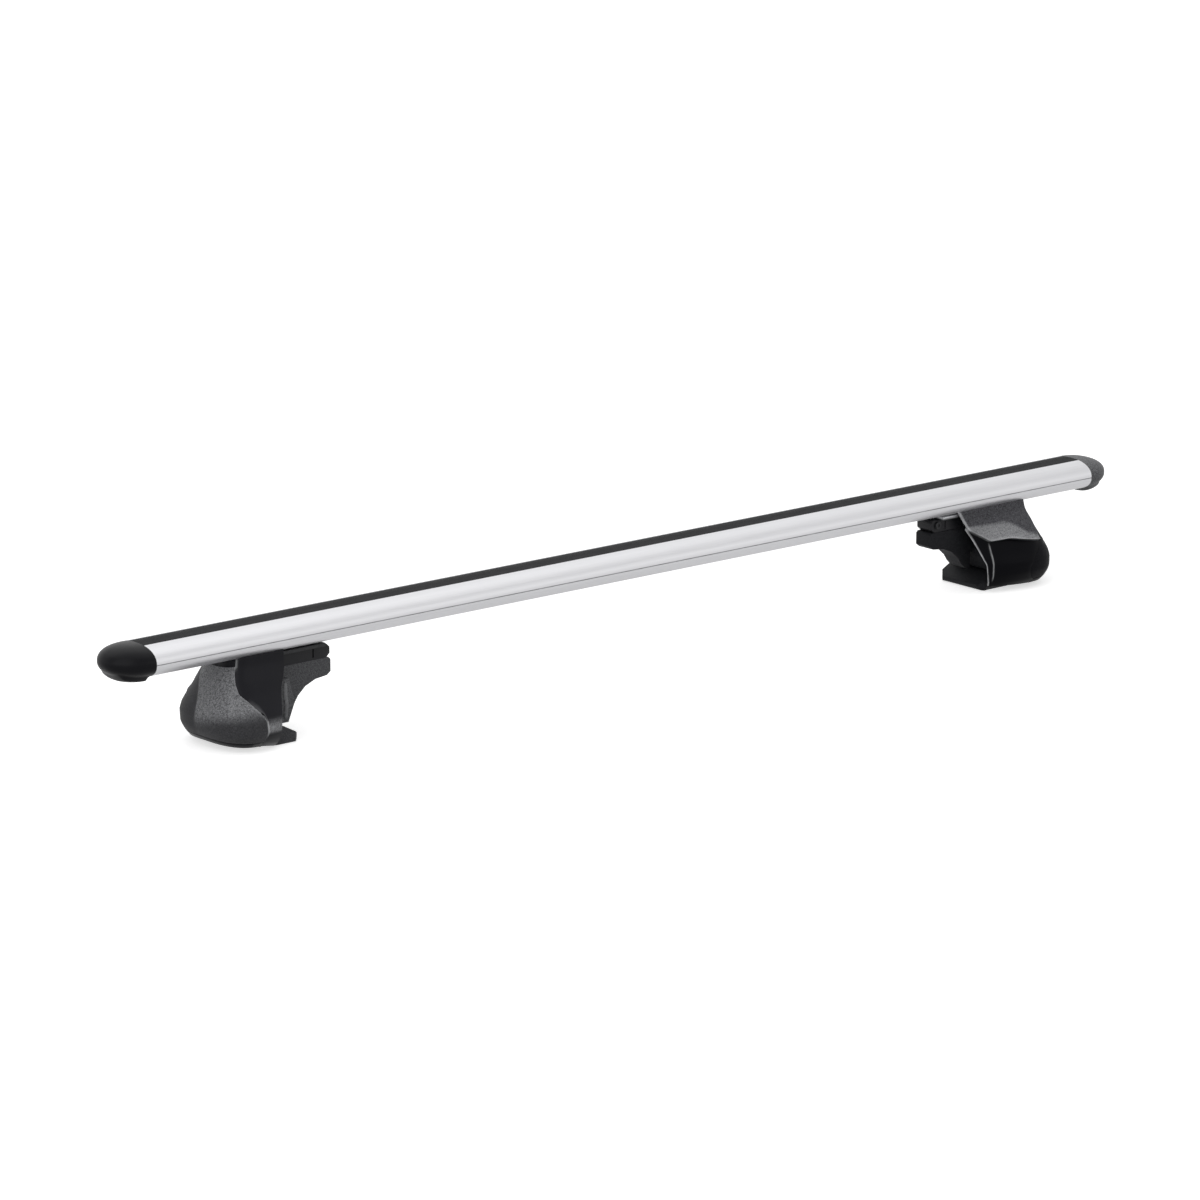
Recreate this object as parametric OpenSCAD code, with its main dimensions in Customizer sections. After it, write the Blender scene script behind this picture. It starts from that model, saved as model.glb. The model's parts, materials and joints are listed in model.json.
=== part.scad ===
// Roof rack crossbar: an aero-section aluminium bar with two clamping feet for raised rails.
// World frame: X along the bar, Y along the rails, Z up, origin on the ground below the bar's centre.
// Foot frame: X points inboard from the foot's datum, Y along the rail, Z up from the ground.

/* [Bar] */
// Overall length, end cap to end cap
bar_length = 1180; // [1000:10:1500]
// Width of the aero section
bar_width = 60; // [56:1:70]
// Height of the aero section
bar_height = 29; // [28:1:34]
// Wall of the extrusion
bar_wall = 2; // [1.6:0.1:2.6]
// Width of the rubber strip on top
strip_width = 23; // [20:1:26]
// Thickness of the strip where it lies in its recess
strip_thick = 1.6; // [1.2:0.1:2]
// Width of the mouth of the upper and lower T-slots
slot_mouth = 10; // [9:0.5:12]
// Width of the T-slots behind the mouth
slot_inside = 20; // [18:0.5:22]
// Height of the T-slots behind the mouth
slot_depth = 5.6; // [5:0.2:6]
// Length of an end cap outside the bar
cap_length = 35; // [28:1:42]
// Length of an end cap's plug inside the bar
cap_plug = 16; // [12:1:24]

/* [Foot] */
// Distance from the bar's left end to the left foot's datum
foot_inset_left = 145; // [130:5:190]
// Distance from the bar's right end to the right foot's datum
foot_inset_right = 135; // [130:5:190]
// Height of the bar's underside above the ground
foot_height = 76.5; // [76:0.5:80]
// Wall of the moulded housing
housing_wall = 2.6; // [2.2:0.2:3]
// Thickness of the outer cover
cover_wall = 2.4; // [2:0.2:2.8]
// Running gap between the cover and the housing
cover_gap = 0.8; // [0.6:0.1:1]
// Thickness of the guide tongues inside the cover
tongue_thick = 2.6; // [2:0.2:3]

/* [Clamp] */
// Travel of the lower jaw
jaw_travel = 12; // [8:1:12]
// Thickness of the steel bracket and jaw plates
plate_thick = 3; // [2.5:0.5:3]
// Diameter of the tension screw
screw_d = 6; // [5:1:8]
// Diameter of the hand knob on the tension screw
knob_d = 22; // [18:1:24]
// Width of the nose that reaches over the rail
nose_width = 20; // [16:1:22]
// How far the nose reaches inboard of the datum
nose_reach = 92; // [84:1:96]
// Thickness of the rubber finger under the nose
finger_thick = 16; // [13:1:17]
// Diameter of the bolts that hold the foot to the bar
bar_bolt_d = 6; // [5:1:8]

/* [Fits] */
// Clearance of parts that slide on each other
slide_gap = 0.3; // [0.2:0.05:0.4]
// Clearance between the housing's top and the bar's rounded underside
seat_gap = 0.5; // [0.4:0.1:1]
// Width of the seam between the cover and the housing
seam_gap = 0.5; // [0.4:0.1:0.8]
// Radial clearance of pins and shafts that turn
running_gap = 0.05; // [0.02:0.01:0.1]

/* [Hidden] */

bar_z = foot_height + bar_height / 2;
bar_half = bar_width / 2;
metal_length = bar_length - 2 * cap_length;
section_power = 2.3;
foot_x_left = bar_length / 2 - foot_inset_left;
foot_x_right = bar_length / 2 - foot_inset_right;

// Superellipse outline of the bar, shrunk by an inset
function lobe(c, p) = sign(c) * pow(abs(c), 2 / p);
function aero(inset, steps = 72) = [
    for (i = [0 : steps - 1]) let (a = 360 * i / steps)
        [(bar_half - inset) * lobe(cos(a), section_power),
         (bar_height / 2 - inset) * lobe(sin(a), section_power)]
];

// Y profile extruded along X, centred on the bar
module along_x(length) {
    rotate([90, 0, 90]) linear_extrude(length, center = true) children();
}

// One T-slot seen in section, mouth upwards at the given height
module slot_section(top) {
    translate([-slot_mouth / 2, top - bar_wall - strip_thick - slot_depth])
        square([slot_mouth, bar_height]);
    translate([-slot_inside / 2, top - bar_wall - strip_thick - slot_depth])
        square([slot_inside, slot_depth]);
}

web_y = slot_inside / 2 + bar_wall;
lower_slot_top = -bar_height / 2 + bar_wall + slot_depth;

module bar_section() {
    difference() {
        polygon(aero(0));
        // side chambers, closed towards the middle by upright webs
        intersection() {
            polygon(aero(bar_wall));
            union() {
                translate([web_y, -bar_height]) square([bar_width, 2 * bar_height]);
                translate([-web_y - bar_width, -bar_height]) square([bar_width, 2 * bar_height]);
            }
        }
        // centre chamber between the two T-slots
        translate([-slot_inside / 2, lower_slot_top + bar_wall])
            square([slot_inside, bar_height - 4 * bar_wall - 2 * slot_depth - strip_thick]);
        slot_section(bar_height / 2);
        // lower slot, mouth downwards
        translate([-slot_inside / 2, lower_slot_top - slot_depth])
            square([slot_inside, slot_depth]);
        translate([-slot_mouth / 2, -bar_height])
            square([slot_mouth, bar_height + lower_slot_top]);
        // recess for the strip
        translate([-strip_width / 2, bar_height / 2 - strip_thick])
            square([strip_width, bar_height]);
        // fine groove along each nose
        for (side = [-1, 1])
            translate([side * bar_half, -0.6]) circle(d = 1.2, $fn = 4);
    }
}

module bar_extrusion() {
    color("silver") translate([0, 0, bar_z]) along_x(metal_length) bar_section();
}

module top_strip() {
    color("dimgray") translate([0, 0, bar_z]) along_x(metal_length) {
        difference() {
            intersection() {
                polygon(aero(0));
                translate([-strip_width / 2, bar_height / 2 - strip_thick])
                    square([strip_width, bar_height]);
            }
            // fine ridges along the strip
            for (i = [-5 : 5])
                translate([i * 1.8, bar_height / 2 + 0.1]) circle(d = 0.7, $fn = 4);
        }
        // keel that holds the strip in the slot's mouth
        difference() {
            translate([-slot_mouth / 2 + 0.2, bar_height / 2 - strip_thick - bar_wall - 1])
                square([slot_mouth - 0.4, bar_wall + 1]);
            translate([-slot_mouth / 2 + 1.8, -bar_height])
                square([slot_mouth - 3.6, 1.5 * bar_height - strip_thick - 1]);
        }
    }
}

// Closed loft through rings of equal length, each counter-clockwise about the loft's direction
module loft(rings) {
    count = len(rings[0]);
    levels = len(rings);
    sides = [for (k = [0 : levels - 2]) for (i = [0 : count - 1])
        let (a = k * count + i, b = k * count + (i + 1) % count)
            each [[a, b + count, b], [a, a + count, b + count]]];
    polyhedron(points = [for (ring = rings) each ring], convexity = 8,
        faces = concat([[for (i = [0 : count - 1]) i]], sides,
            [[for (i = [count - 1 : -1 : 0]) (levels - 1) * count + i]]));
}

// Wall between an outer and an inner grid of points, open along its path; both grids have
// the same number of levels and points, and the path runs counter-clockwise seen from above
module wall_shell(outer, inner) {
    n = len(outer[0]);
    levels = len(outer);
    shift = n * levels;
    function quad(a, b, c, d) = [[a, b, c], [a, c, d]];
    polyhedron(points = concat([for (ring = outer) each ring], [for (ring = inner) each ring]),
        convexity = 10,
        faces = concat(
            [for (k = [0 : levels - 2]) for (i = [0 : n - 2]) let (a = k * n + i)
                each quad(a, a + n, a + n + 1, a + 1)],
            [for (k = [0 : levels - 2]) for (i = [0 : n - 2]) let (a = shift + k * n + i)
                each quad(a, a + 1, a + n + 1, a + n)],
            [for (i = [0 : n - 2]) each quad(i, i + 1, shift + i + 1, shift + i)],
            [for (i = [0 : n - 2]) let (a = (levels - 1) * n + i)
                each quad(a, shift + a, shift + a + 1, a + 1)],
            [for (k = [0 : levels - 2]) let (a = k * n)
                each quad(a, shift + a, shift + a + n, a + n)],
            [for (k = [0 : levels - 2]) let (a = k * n + n - 1)
                each quad(a, a + n, shift + a + n, shift + a)]));
}

// End cap: a dome that carries the bar's section to a rounded end, with a lip below
cap_stations = [0, 0.07, 0.12, 0.3, 0.5, 0.68, 0.76, 0.86, 0.94, 0.98, 1];
cap_lip = [[0.07, 0], [0.12, 1], [0.68, 1], [0.82, 0]];
cap_lip_depth = 3.4;
function cap_ring(s) = let (
        plan = pow(max(0, 1 - pow(s, 2.2)), 0.5),
        rise = pow(max(0, 1 - pow(s, 2.6)), 0.5),
        lip = lookup(s, cap_lip) * cap_lip_depth)
    [for (p = aero(0, 48)) [
        s * cap_length,
        p[0] * max(plan, 0.06),
        p[1] * max(rise, 0.08) - (p[1] < -0.75 * bar_height / 2 ? lip : 0)]];

module end_cap() {
    color("#202123") translate([metal_length / 2, 0, bar_z]) {
        loft([for (s = cap_stations) cap_ring(s)]);
        // plugs inside the side chambers
        for (side = [-1, 1])
            translate([-cap_plug, side > 0 ? web_y + slide_gap : -web_y - slide_gap - 9, -7])
                cube([cap_plug + 1, 9, 13]);
    }
}

module end_cap_left() { mirror([1, 0, 0]) end_cap(); }
module end_cap_right() { end_cap(); }

// Places a foot piece under the left half of the bar, or turned half round under the right
module left_foot() { translate([-foot_x_left, 0, 0]) children(); }
module right_foot() { translate([foot_x_right, 0, 0]) rotate([0, 0, 180]) children(); }

// Stations of the bell-shaped housing, from the ground up:
// [height, outboard X, widest half width, inboard X on side B, half width there, inboard X on side A]
bell = [
    [0, -30, 36, 40, 33, 10],
    [4, -37, 42, 40.5, 35, 10],
    [10, -42, 47, 41, 36.5, 10],
    [18, -45.5, 50.5, 42, 38, 10],
    [27, -46.5, 51, 43, 38, 12],
    [33, -45, 48.5, 45, 36, 15],
    [41, -41, 42, 47, 32, 20],
    [50, -36, 34.5, 50, 28, 25],
    [60, -31, 28.5, 55, 25, 29],
    [72, -25, 25, 62, 23, 30],
    [foot_height + 9, -22, 24, 70, 22, 30]
];
// Extra half width of side B, which leans out further than side A
bell_lean = [[0, 0], [27, 0], [41, 3], [50, 5], [60, 4.5], [72, 1], [foot_height + 9, 0]];
bell_mid = -10;
bell_power = 2.5;
function bell_col(i) = [for (st = bell) [st[0], st[i]]];

// Side A is -1 and side B is +1. The path parameter t runs from -1 at the inboard edge
// through 0 at the widest place to 1 at the outboard centre.
// Height of the shoulder's lower edge and of its upper fold on side B, over t
shoulder_edge = [[-1, 62], [-0.8, 50.5], [-0.45, 51.5], [0, 46.5], [0.6, 41], [1, 39]];
shoulder_fold = [[-1, 64.5], [-0.3, 64.5], [0, 51], [0.6, 44], [1, 42]];
shoulder_reach = [[-1, 0], [-0.8, 5], [-0.3, 5.5], [0, 3.2], [0.3, 1], [0.6, 0]];
plain_edge = [[-1, 48], [0, 46.5], [0.6, 41], [1, 39]];
plain_fold = [[-1, 62], [0, 56], [0.6, 46], [1, 42]];
// Place of the cover's S-shaped seam over the height, as t
seam = [[0, 0.15], [5, 0.1], [11, -0.1], [18, -0.16], [27, -0.09], [36, 0.02], [44, 0.12], [56, 0.3], [72, 0.42]];
// How far the lower edge is raised off the ground on each side, over t
edge_rise_a = [[-1, 0], [0, 4.2], [0.4, 4.7], [1, 6.5]];
edge_rise_b = [[-1, 7], [-0.5, 5], [0, 4.2], [0.4, 4.7], [1, 6.5]];
lip_height = 4.5;
lower_levels = 7;
edge_level = lower_levels + 1;
fold_level = edge_level + 2;
last_level = fold_level + 3;

function rise_at(side, t) = lookup(t, side > 0 ? edge_rise_b : edge_rise_a);
function level_z(k, side, t, top) = let (
        low = rise_at(side, t) + lip_height,
        edge = lookup(t, side > 0 ? shoulder_edge : plain_edge),
        fold = lookup(t, side > 0 ? shoulder_fold : plain_fold))
    k <= lower_levels ? low + (edge - 0.8 - low) * k / lower_levels
    : k <= fold_level ? edge + (fold - edge) * (k - edge_level) / (fold_level - edge_level)
    : fold + (top - fold) * (k - fold_level) / (last_level - fold_level);
function shoulder_at(k, side, t) = side < 0 ? 0
    : lookup(t, shoulder_reach) * lookup(k, [[lower_levels, 0], [edge_level, 1], [fold_level, 0]]);

// Point of the bell at a height, pushed in by an inset and out by the shoulder
function bell_xy(side, t, z, inset, bump) = let (
        out = bell_mid - lookup(z, bell_col(1)) - inset + bump,
        wide = lookup(z, bell_col(2)) - inset + bump + (side > 0 ? lookup(z, bell_lean) : 0),
        inboard = lookup(z, bell_col(3)),
        narrow = lookup(z, bell_col(4)) - inset + bump,
        end = lookup(z, bell_col(side > 0 ? 3 : 5)),
        a = 90 + 90 * t,
        x = bell_mid - t * (end - bell_mid),
        u = (x - bell_mid) / (inboard - bell_mid))
    t >= 0
        ? [bell_mid + out * lobe(cos(a), bell_power), side * wide * lobe(sin(a), bell_power)]
        : [x, side * (wide - (wide - narrow) * u * u)];

// Height of the bar's underside at a distance from its middle
function seat_z(y) = bar_z - seat_gap
    - bar_height / 2 * pow(1 - pow(min(abs(y), bar_half) / bar_half, section_power), 1 / section_power);

function bell_point(k, side, t, inset, top) = let (
        z = level_z(k, side, t, top),
        p = bell_xy(side, t, z, inset, shoulder_at(k, side, t)),
        seat = k == last_level ? min(z, seat_z(p[1])) : z)
    [p[0], p[1], seat];

// Paths as [side, t, on the cover's zone], side A first, round the outboard side to side B
side_steps = 4;
zone_steps = 7;
function seam_at(k, side, top) = lookup(level_z(k, side, 0, top), seam);
function zone_half(k, side, top, from) = let (s = seam_at(k, side, top))
    [for (i = [from : zone_steps]) [side, s + (1 - s) * i / zone_steps, true]];
function side_half(k, side, top, back) = let (s = seam_at(k, side, top) - back)
    [for (i = [0 : side_steps]) [side, -1 + (s + 1) * i / side_steps, false]];
function reversed(list) = [for (i = [len(list) - 1 : -1 : 0]) list[i]];
liner = cover_wall + cover_gap;
window_half = 18;
window_low = 14;
window_high = 57;
rib_y = window_half + 1.5;
rib_thick = 2.5;
tongue_y = rib_y - rib_thick / 2 - slide_gap - tongue_thick / 2;
tongue_low = 48.5;
tongue_high = 56;

// Outboard face of the bell, pushed in by an inset, at a place along the rail and a height
function face_x(y, z, inset) = let (out = bell_mid - lookup(z, bell_col(1)) - inset,
        wide = lookup(z, bell_col(2)) - inset)
    bell_mid - out * pow(1 - pow(abs(y) / wide, bell_power), 1 / bell_power);

// The outline runs from side B's inboard edge round the outboard side to side A's
function housing_path(k, back) = concat(
    side_half(k, 1, seat_top, back), zone_half(k, 1, seat_top, 0),
    reversed([for (i = [0 : zone_steps - 1]) zone_half(k, -1, seat_top, 0)[i]]),
    reversed(side_half(k, -1, seat_top, back)));
seat_top = foot_height + 8;

function housing_ring(k, outer) = [for (p = housing_path(k, outer ? 0 : 0.05))
    bell_point(k, p[0], p[1], outer ? (p[2] ? liner : 0) : liner + housing_wall, seat_top)];
// The lip under the cover stands out to the full outline
function lip_ring(z, inset) = [for (p = housing_path(0, inset > 0 ? 0.05 : 0.001))
    let (low = rise_at(p[0], p[1]), q = bell_xy(p[0], p[1], low + z, inset, 0)) [q[0], q[1], low + z]];

module foot_housing() {
    color("#1c1c1f") difference() {
        union() {
            wall_shell(
                concat([lip_ring(0, 0), lip_ring(lip_height - 0.6, 0)], [for (k = [0 : last_level]) housing_ring(k, true)]),
                concat([lip_ring(0, liner + housing_wall), lip_ring(lip_height - 0.6, liner + housing_wall)],
                    [for (k = [0 : last_level]) housing_ring(k, false)]));
            // ribs between the liner and the bracket
            for (side = [-1, 1])
                across_y(side * rib_y - rib_thick / 2, side * rib_y + rib_thick / 2) polygon(concat(
                    [[plate_x - 0.4, window_high + 1], [plate_x - 0.4, window_low - 2]],
                    [for (z = [window_low - 2 : 5 : window_high + 1])
                        [face_x(rib_y, z, liner + housing_wall / 2), z]]));
        }
        // window for the hand knob and the screw
        translate([-70, -window_half, window_low])
            cube([70 + bell_mid, 2 * window_half, window_high - window_low]);
    }
}

// Prism with an XZ outline between two Y planes
module across_y(from, to) {
    translate([0, to, 0]) rotate([90, 0, 0]) linear_extrude(to - from) children();
}

// The cover shares the housing's levels but the topmost, and starts a seam gap from its step
function gap_t(side, t, z) = t < 0
    ? seam_gap / (lookup(z, bell_col(side > 0 ? 3 : 5)) - bell_mid) : seam_gap / 60;
function cover_half(k, side) = let (s = seam_at(k, side, seat_top),
        from = s + gap_t(side, s, level_z(k, side, 0, seat_top)))
    [for (i = [0 : zone_steps]) [side, from + (1 - from) * i / zone_steps]];
function cover_ring(k, inset) = [for (p = concat(cover_half(k, 1),
        reversed([for (i = [0 : zone_steps - 1]) cover_half(k, -1)[i]])))
    bell_point(k, p[0], p[1], inset, seat_top)];

module foot_cover() {
    color("#4a4b4e") {
        wall_shell([for (k = [0 : last_level - 1]) cover_ring(k, 0)],
            [for (k = [0 : last_level - 1]) cover_ring(k, cover_wall)]);
        // guide tongues that slide between the housing's ribs
        for (side = [-1, 1])
            across_y(side * tongue_y - tongue_thick / 2, side * tongue_y + tongue_thick / 2)
                polygon([[face_x(tongue_y, tongue_low, cover_wall / 2), tongue_low],
                    [plate_x - 2, tongue_low], [plate_x - 2, tongue_high],
                    [face_x(tongue_y, tongue_high, cover_wall / 2), tongue_high]]);
    }
}

// Layout of the clamp in the foot frame
plate_x = 8;
column_in = 35;
column_foot = 18;
nose_split = foot_height - 15.5;
column_head = nose_split - 7;
nose_half = nose_width / 2;
bolt_spots = [0, 21];
screw_x = -8;
shelf_z = 44;
flange_top = foot_height - 0.1;

module upright(from, to, low, high, low_half, high_half) {
    translate([from, 0, 0]) rotate([90, 0, 90]) linear_extrude(to - from)
        polygon([[-low_half, low], [low_half, low], [high_half, high], [-high_half, high]]);
}

module support_bracket() {
    color("#5c5f63") difference() {
        union() {
            upright(plate_x, plate_x + plate_thick, column_foot + 1, flange_top, 30, 16.5);
            translate([-12, -16.5, flange_top - plate_thick]) cube([nose_reach + 2, 33, plate_thick]);
            translate([-18, -jaw_half, shelf_z]) cube([plate_x + 18.5, 2 * jaw_half, plate_thick]);
            // lips that guide the jaw's edges
            for (side = [-1, 1])
                translate([jaw_back - slide_gap, side > 0 ? jaw_half + slide_gap : -jaw_half - slide_gap - 2.5, 26])
                    cube([plate_x - jaw_back + 1, 2.5, 16]);
        }
        for (x = bolt_spots)
            translate([x, 0, foot_height - 20])
                cylinder(h = 30, d = bar_bolt_d + 0.6, $fn = 48);
        translate([screw_x, 0, shelf_z - 1])
            cylinder(h = plate_thick + 2, d = screw_d + 2 * running_gap, $fn = 48);
    }
}

module slot_plate() {
    plate_w = slot_inside - 2 * slide_gap;
    color("#8a8d91") difference() {
        translate([-10, -plate_w / 2, foot_height + bar_wall + slide_gap])
            cube([44, plate_w, slot_depth - 2 * slide_gap]);
        for (x = bolt_spots)
            translate([x, 0, foot_height]) cylinder(h = 20, d = bar_bolt_d, $fn = 48);
    }
}

module bar_bolts() {
    color("silver") for (x = bolt_spots) {
        translate([x, 0, flange_top - plate_thick - 3.8])
            cylinder(h = 3.8, d = bar_bolt_d * 1.6, $fn = 6);
        translate([x, 0, flange_top - plate_thick - 0.01])
            cylinder(h = plate_thick + bar_wall + slot_depth - 0.5, d = bar_bolt_d, $fn = 48);
    }
}

// Profile of the rubber saddle that the rail bears against, from the column up to the nose
finger_under = nose_split - finger_thick;
saddle = [[column_in + 8, column_foot + 1.5], [column_in + 13, column_foot + 4], [column_in + 17, column_foot + 8],
    [column_in + 21, finger_under - 13], [column_in + 29, finger_under - 6], [column_in + 40, finger_under - 1.5],
    [nose_reach - 4, finger_under], [nose_reach, finger_under + 3]];
pad_screw_y = 18;
pad_screw_z = 32;

module rail_pad() {
    color("#55565a") difference() {
        union() {
            translate([plate_x + plate_thick, 0, 0]) rotate([90, 0, 90])
                linear_extrude(column_in - plate_x - plate_thick) polygon([
                    [-34, column_foot], [30, column_foot], [30, column_foot + 4],
                    [22.5, column_head], [-24.5, column_head], [-33, column_foot + 16]]);
            across_y(-nose_half, nose_half) polygon(concat(
                [[plate_x + plate_thick, column_foot + 1.5]], saddle,
                [[nose_reach, nose_split - 2], [nose_reach - 2, nose_split], [plate_x + plate_thick, nose_split]]));
        }
        for (side = [-1, 1])
            translate([plate_x, side * pad_screw_y, pad_screw_z]) rotate([0, 90, 0])
                cylinder(h = 15, d = 4, $fn = 32);
    }
}

module pad_screws() {
    color("silver") for (side = [-1, 1])
        translate([plate_x + plate_thick, side * pad_screw_y, pad_screw_z]) rotate([0, 90, 0])
            cylinder(h = 11, d = 4, $fn = 32);
}

nose_top = flange_top - plate_thick - 0.1;
nose_screw_x = nose_reach - 9;
nose_screw_z = nose_split + 7;
slot_x = nose_reach - 20;
module nose_block() {
    color("#202123") difference() {
        across_y(-nose_half, nose_half) polygon([
            [31, nose_split + 0.1], [nose_reach - 5, nose_split + 0.1], [nose_reach - 1, nose_split + 3.5],
            [nose_reach - 1, nose_top - 3], [nose_reach - 4, nose_top], [31, nose_top]]);
        // slots between the arm and the stub
        for (side = [-1, 1])
            translate([slot_x, side * nose_half - 1.5, nose_split + 2]) cube([1.5, 3, 8]);
        translate([nose_screw_x, nose_half + 1, nose_screw_z]) rotate([90, 0, 0])
            cylinder(h = nose_width - 3, d = 4, $fn = 32);
    }
}

module nose_screw() {
    color("silver") translate([nose_screw_x, nose_half, nose_screw_z]) rotate([90, 0, 0]) {
        cylinder(h = nose_width - 5, d = 4, $fn = 32);
        difference() {
            translate([0, 0, -2]) cylinder(h = 2, d = 7, $fn = 48);
            translate([0, 0, -3]) cylinder(h = 2.2, d = 3.4, $fn = 6);
        }
    }
}

jaw_back = plate_x - slide_gap - plate_thick;
jaw_half = 15;
jaw_long = 29;
toe_half = 26;
module clamp_jaw() {
    color("#2b2c2f") difference() {
        union() {
            upright(jaw_back, plate_x - slide_gap, 0, 40, jaw_half, jaw_half);
            translate([jaw_back, -toe_half, 0]) cube([jaw_long, 2 * toe_half, plate_thick]);
            translate([screw_x - 8, -jaw_half, lug_z]) cube([jaw_back - screw_x + 8.5, 2 * jaw_half, plate_thick]);
        }
        translate([screw_x, 0, 10]) cylinder(h = 20, d = screw_d + 0.6, $fn = 48);
    }
}

module toe_pad() {
    color("#55565a") difference() {
        intersection() {
            across_y(-36, toe_half + 0.5) polygon([
                [plate_x + 3, 0], [plate_x + 3, 16], [plate_x + 14, 16], [34, 12.5], [40, 7.5], [41, 4.5], [40, 1.5], [38, 0]]);
            linear_extrude(30) polygon([[0, -36], [33, -36], [41, -27], [41, 20], [36, toe_half + 1], [0, toe_half + 1]]);
        }
        translate([0, -toe_half - 0.1, -1]) cube([jaw_back + jaw_long + 0.1, 2 * toe_half + 3, plate_thick + 1]);
    }
}

lug_z = 22;
nut_z = lug_z + plate_thick;
module jaw_nut() {
    color("silver") difference() {
        translate([screw_x, 0, nut_z]) cylinder(h = 5, d = 11.5, $fn = 6);
        translate([screw_x, 0, nut_z - 1]) cylinder(h = 8, d = screw_d + 2 * running_gap, $fn = 48);
    }
}

washer_top = shelf_z + plate_thick + 1;
module thrust_washer() {
    color("silver") difference() {
        translate([screw_x, 0, shelf_z + plate_thick]) cylinder(h = 1, d = 14, $fn = 64);
        translate([screw_x, 0, shelf_z]) cylinder(h = 10, d = screw_d + 2 * running_gap, $fn = 48);
    }
}

module tension_screw() {
    low = nut_z - jaw_travel - 5;
    color("silver") difference() {
        translate([screw_x, 0, low]) cylinder(h = washer_top + 10 - low, d = screw_d, $fn = 48);
        // groove for the clip
        translate([screw_x, 0, clip_z]) difference() {
            cylinder(h = 1, d = screw_d + 1, $fn = 48);
            translate([0, 0, -1]) cylinder(h = 3, d = screw_d - 1.2, $fn = 48);
        }
    }
}

// Split clip under the shelf, which keeps the screw from lifting out
clip_z = shelf_z - 1.5;
module screw_clip() {
    color("silver") translate([screw_x, 0, clip_z]) difference() {
        cylinder(h = 1, d = screw_d + 5, $fn = 64);
        translate([0, 0, -1]) cylinder(h = 3, d = screw_d - 1.2, $fn = 48);
        translate([0, -1.5, -1]) cube([screw_d, 3, 3]);
    }
}

module clamp_knob() {
    color("#202123") difference() {
        translate([screw_x, 0, washer_top]) union() {
            cylinder(h = 9, d = knob_d - 4, $fn = 64);
            for (i = [0 : 5]) rotate([0, 0, 60 * i])
                translate([knob_d / 2 - 3, 0, 0]) cylinder(h = 9, r = 3, $fn = 32);
        }
        translate([screw_x, 0, washer_top - 1]) cylinder(h = 12, d = screw_d, $fn = 48);
    }
}

module foot_housing_left() { left_foot() foot_housing(); }
module foot_housing_right() { right_foot() foot_housing(); }
module foot_cover_left() { left_foot() foot_cover(); }
module foot_cover_right() { right_foot() foot_cover(); }
module support_bracket_left() { left_foot() support_bracket(); }
module support_bracket_right() { right_foot() support_bracket(); }
module slot_plate_left() { left_foot() slot_plate(); }
module slot_plate_right() { right_foot() slot_plate(); }
module bar_bolts_left() { left_foot() bar_bolts(); }
module bar_bolts_right() { right_foot() bar_bolts(); }
module rail_pad_left() { left_foot() rail_pad(); }
module rail_pad_right() { right_foot() rail_pad(); }
module pad_screws_left() { left_foot() pad_screws(); }
module pad_screws_right() { right_foot() pad_screws(); }
module nose_block_left() { left_foot() nose_block(); }
module nose_block_right() { right_foot() nose_block(); }
module nose_screw_left() { left_foot() nose_screw(); }
module nose_screw_right() { right_foot() nose_screw(); }
module clamp_jaw_left() { left_foot() clamp_jaw(); }
module clamp_jaw_right() { right_foot() clamp_jaw(); }
module toe_pad_left() { left_foot() toe_pad(); }
module toe_pad_right() { right_foot() toe_pad(); }
module jaw_nut_left() { left_foot() jaw_nut(); }
module jaw_nut_right() { right_foot() jaw_nut(); }
module tension_screw_left() { left_foot() tension_screw(); }
module tension_screw_right() { right_foot() tension_screw(); }
module clamp_knob_left() { left_foot() clamp_knob(); }
module clamp_knob_right() { right_foot() clamp_knob(); }
module screw_clip_left() { left_foot() screw_clip(); }
module screw_clip_right() { right_foot() screw_clip(); }
module thrust_washer_left() { left_foot() thrust_washer(); }
module thrust_washer_right() { right_foot() thrust_washer(); }

bar_extrusion();
top_strip();
end_cap_left();
end_cap_right();
foot_housing_left();
foot_housing_right();
foot_cover_left();
foot_cover_right();
support_bracket_left();
support_bracket_right();
slot_plate_left();
slot_plate_right();
bar_bolts_left();
bar_bolts_right();
rail_pad_left();
rail_pad_right();
pad_screws_left();
pad_screws_right();
nose_block_left();
nose_block_right();
nose_screw_left();
nose_screw_right();
clamp_jaw_left();
clamp_jaw_right();
toe_pad_left();
toe_pad_right();
jaw_nut_left();
jaw_nut_right();
tension_screw_left();
tension_screw_right();
clamp_knob_left();
clamp_knob_right();
screw_clip_left();
screw_clip_right();
thrust_washer_left();
thrust_washer_right();
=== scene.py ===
"""Looks of a roof rack crossbar: an aero aluminium bar on two clamping feet.

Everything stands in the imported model's frame, in metres: X along the bar, Y along
the roof rails and Z up from the ground.
"""

import json
import logging
import math
from collections.abc import Callable, Iterable
from dataclasses import dataclass, field, replace
from enum import Enum

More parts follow.
